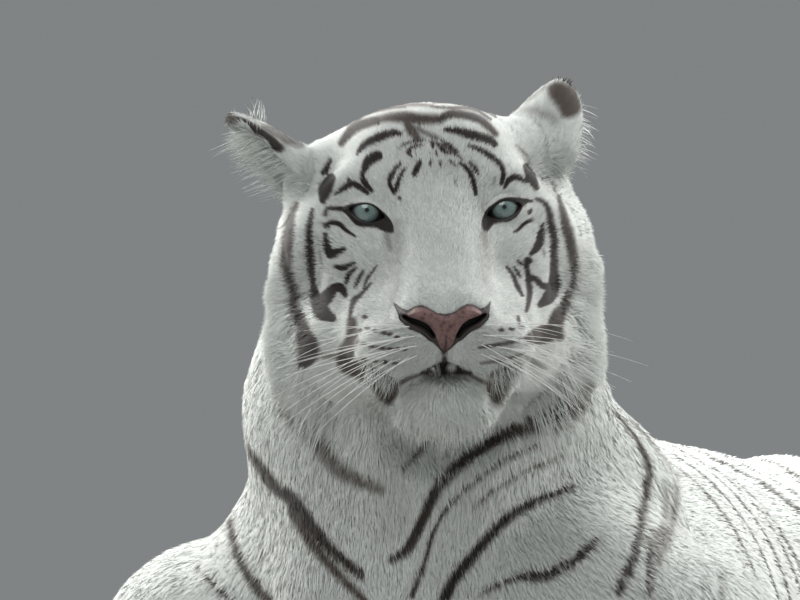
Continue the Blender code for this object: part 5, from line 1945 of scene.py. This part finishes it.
# %% Tuft of the right ear, chin, lips and ruff
aside, ahead, height = np.abs(skin_on_head[:, 0]), -skin_on_head[:, 1], skin_on_head[:, 2]
tuft = (np.abs(skin_pane[:, 0] + 170) < 8) & (skin_pane[:, 1] > 76) & (skin_ear > 0.6)
chin = (aside < 0.040) & (height < -0.178) & (ahead > 0.03)
from_chin = np.abs(skin_pane[:, 0] - 8)
lips = (np.abs(skin_pane[:, 1] + 147.5) < 7.5) & (ahead > 0.02) & (np.abs(from_chin - 58) < 16)
ruff = (share_of(skin_kinds, "ruff") > 0.5) & (height < -0.13) & (aside < 0.125)
ruff &= (ahead < -0.02) & (ahead > -0.15)
outwards = skin_on_head * np.array((1.0, 0.0, 0.0))
fringes += [
    long_hairs("ear_tuft", tuft, 90, (-0.35, 0, 0.8), 0.018, 0.5, 0.0007, 0.0),
    long_hairs("chin_hairs", chin, 900, (0, 0.25, -1.0), 0.020, 0.3, 0.0007, 0.0),
    long_hairs("lip_hairs", lips, 420, np.sign(outwards) * 0.25 + (0, -0.1, -1.0), 0.022, 0.3, 0.0006, 0.05),
    long_hairs("ruff_locks", ruff, 1500, outwards / 0.30 + (0, -0.05, -1.0), 0.050, 0.22, 0.0012, 0.10),
]
for ob in fringes:
    ob.data.materials.append(coat_finish)
print("long hairs", [len(ob.data.polygons) // 4 for ob in fringes])

# %% [markdown]
# ## The solids hidden
# The solids are all hidden, and the skin, the eyeballs and the leather show in their place. Nothing here moves,
# so all pieces ride on the one body.

# %% Pieces, nodes and slots
OWN_PIECES = {"eye_left": eyes[1], "eye_right": eyes[-1], "nose": nose}
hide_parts(*sorted(set(frame["nodes"]) - set(OWN_PIECES)))
for node, piece in OWN_PIECES.items():
    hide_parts(node)
SLOTS = {"coat": [skin, whiskers] + coat + fringes, "eye": list(eyes.values()), "nose": [nose] + rims}
for slot, pieces in SLOTS.items():
    for piece in pieces:
        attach(piece, "root")
print({slot: len(pieces) for slot, pieces in SLOTS.items()})

# %% [markdown]
# ## Floor and light
# A pale round floor and a plain grey room. Two large soft lights hang high, one before the animal and one
# behind it, and two more stand at the sides, a little behind, to line the cheeks, the back and the crown.

# %% Floor
FLOOR_RADIUS = 2.6
floor = start_piece("floor", bpy.ops.mesh.primitive_circle_add, vertices=128, radius=FLOOR_RADIUS,
                    fill_type="NGON")
floor_finish, floor_tree, floor_shader = new_finish("pale floor", 0.8, 0.2)
fill(floor_tree, floor_shader, {"Base Color": (0.45, 0.45, 0.44, 1)})
bumped_by_noise(floor_tree, floor_shader, 60, 0.001, 0.15)
floor.data.materials.append(floor_finish)
floor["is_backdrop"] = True


# %% Light and room
RIM_LIGHT = (1.0, 0.99, 0.96)


def soft_light(name, place, size, power, target, colour=(1, 1, 1)):
    bpy.ops.object.light_add(type="AREA", location=place)
    lamp = bpy.context.object
    lamp.name = name
    lamp.data.shape, lamp.data.size, lamp.data.energy, lamp.data.color = "DISK", size, power, colour
    lamp.rotation_euler = (Vector(target) - Vector(place)).to_track_quat("-Z", "Y").to_euler()


soft_light("key", (0.4, 1.9, 2.6), 1.4, 66, (0, -0.1, 0.3))
soft_light("fill", (0.2, -2.4, 3.1), 2.4, 41, (0, -0.4, 0.4))
soft_light("back right", (2.2, 1.3, 1.9), 1.4, 66, (0, -0.2, 0.4), RIM_LIGHT)
soft_light("back left", (-2.3, 0.2, 1.9), 1.6, 120, (0, -0.2, 0.4), RIM_LIGHT)
room = bpy.data.worlds.new("grey room")
room.use_nodes = True
fill(room.node_tree, room.node_tree.nodes["Background"], {"Color": (0.42, 0.44, 0.45, 1), "Strength": 0.52})
bpy.context.scene.world = room
bpy.context.scene.view_settings.view_transform = "Standard"

# %% Sizes, and the end
low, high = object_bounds()
sizes = {"cad_low": list(cad_low), "cad_high": list(cad_high), "low": list(low), "high": list(high)}
print("stands proud of the solids by", [round((a - b) * 1000, 1) for a, b in zip(cad_low, low)],
      "below and", [round((a - b) * 1000, 1) for a, b in zip(high, cad_high)], "above, in mm")
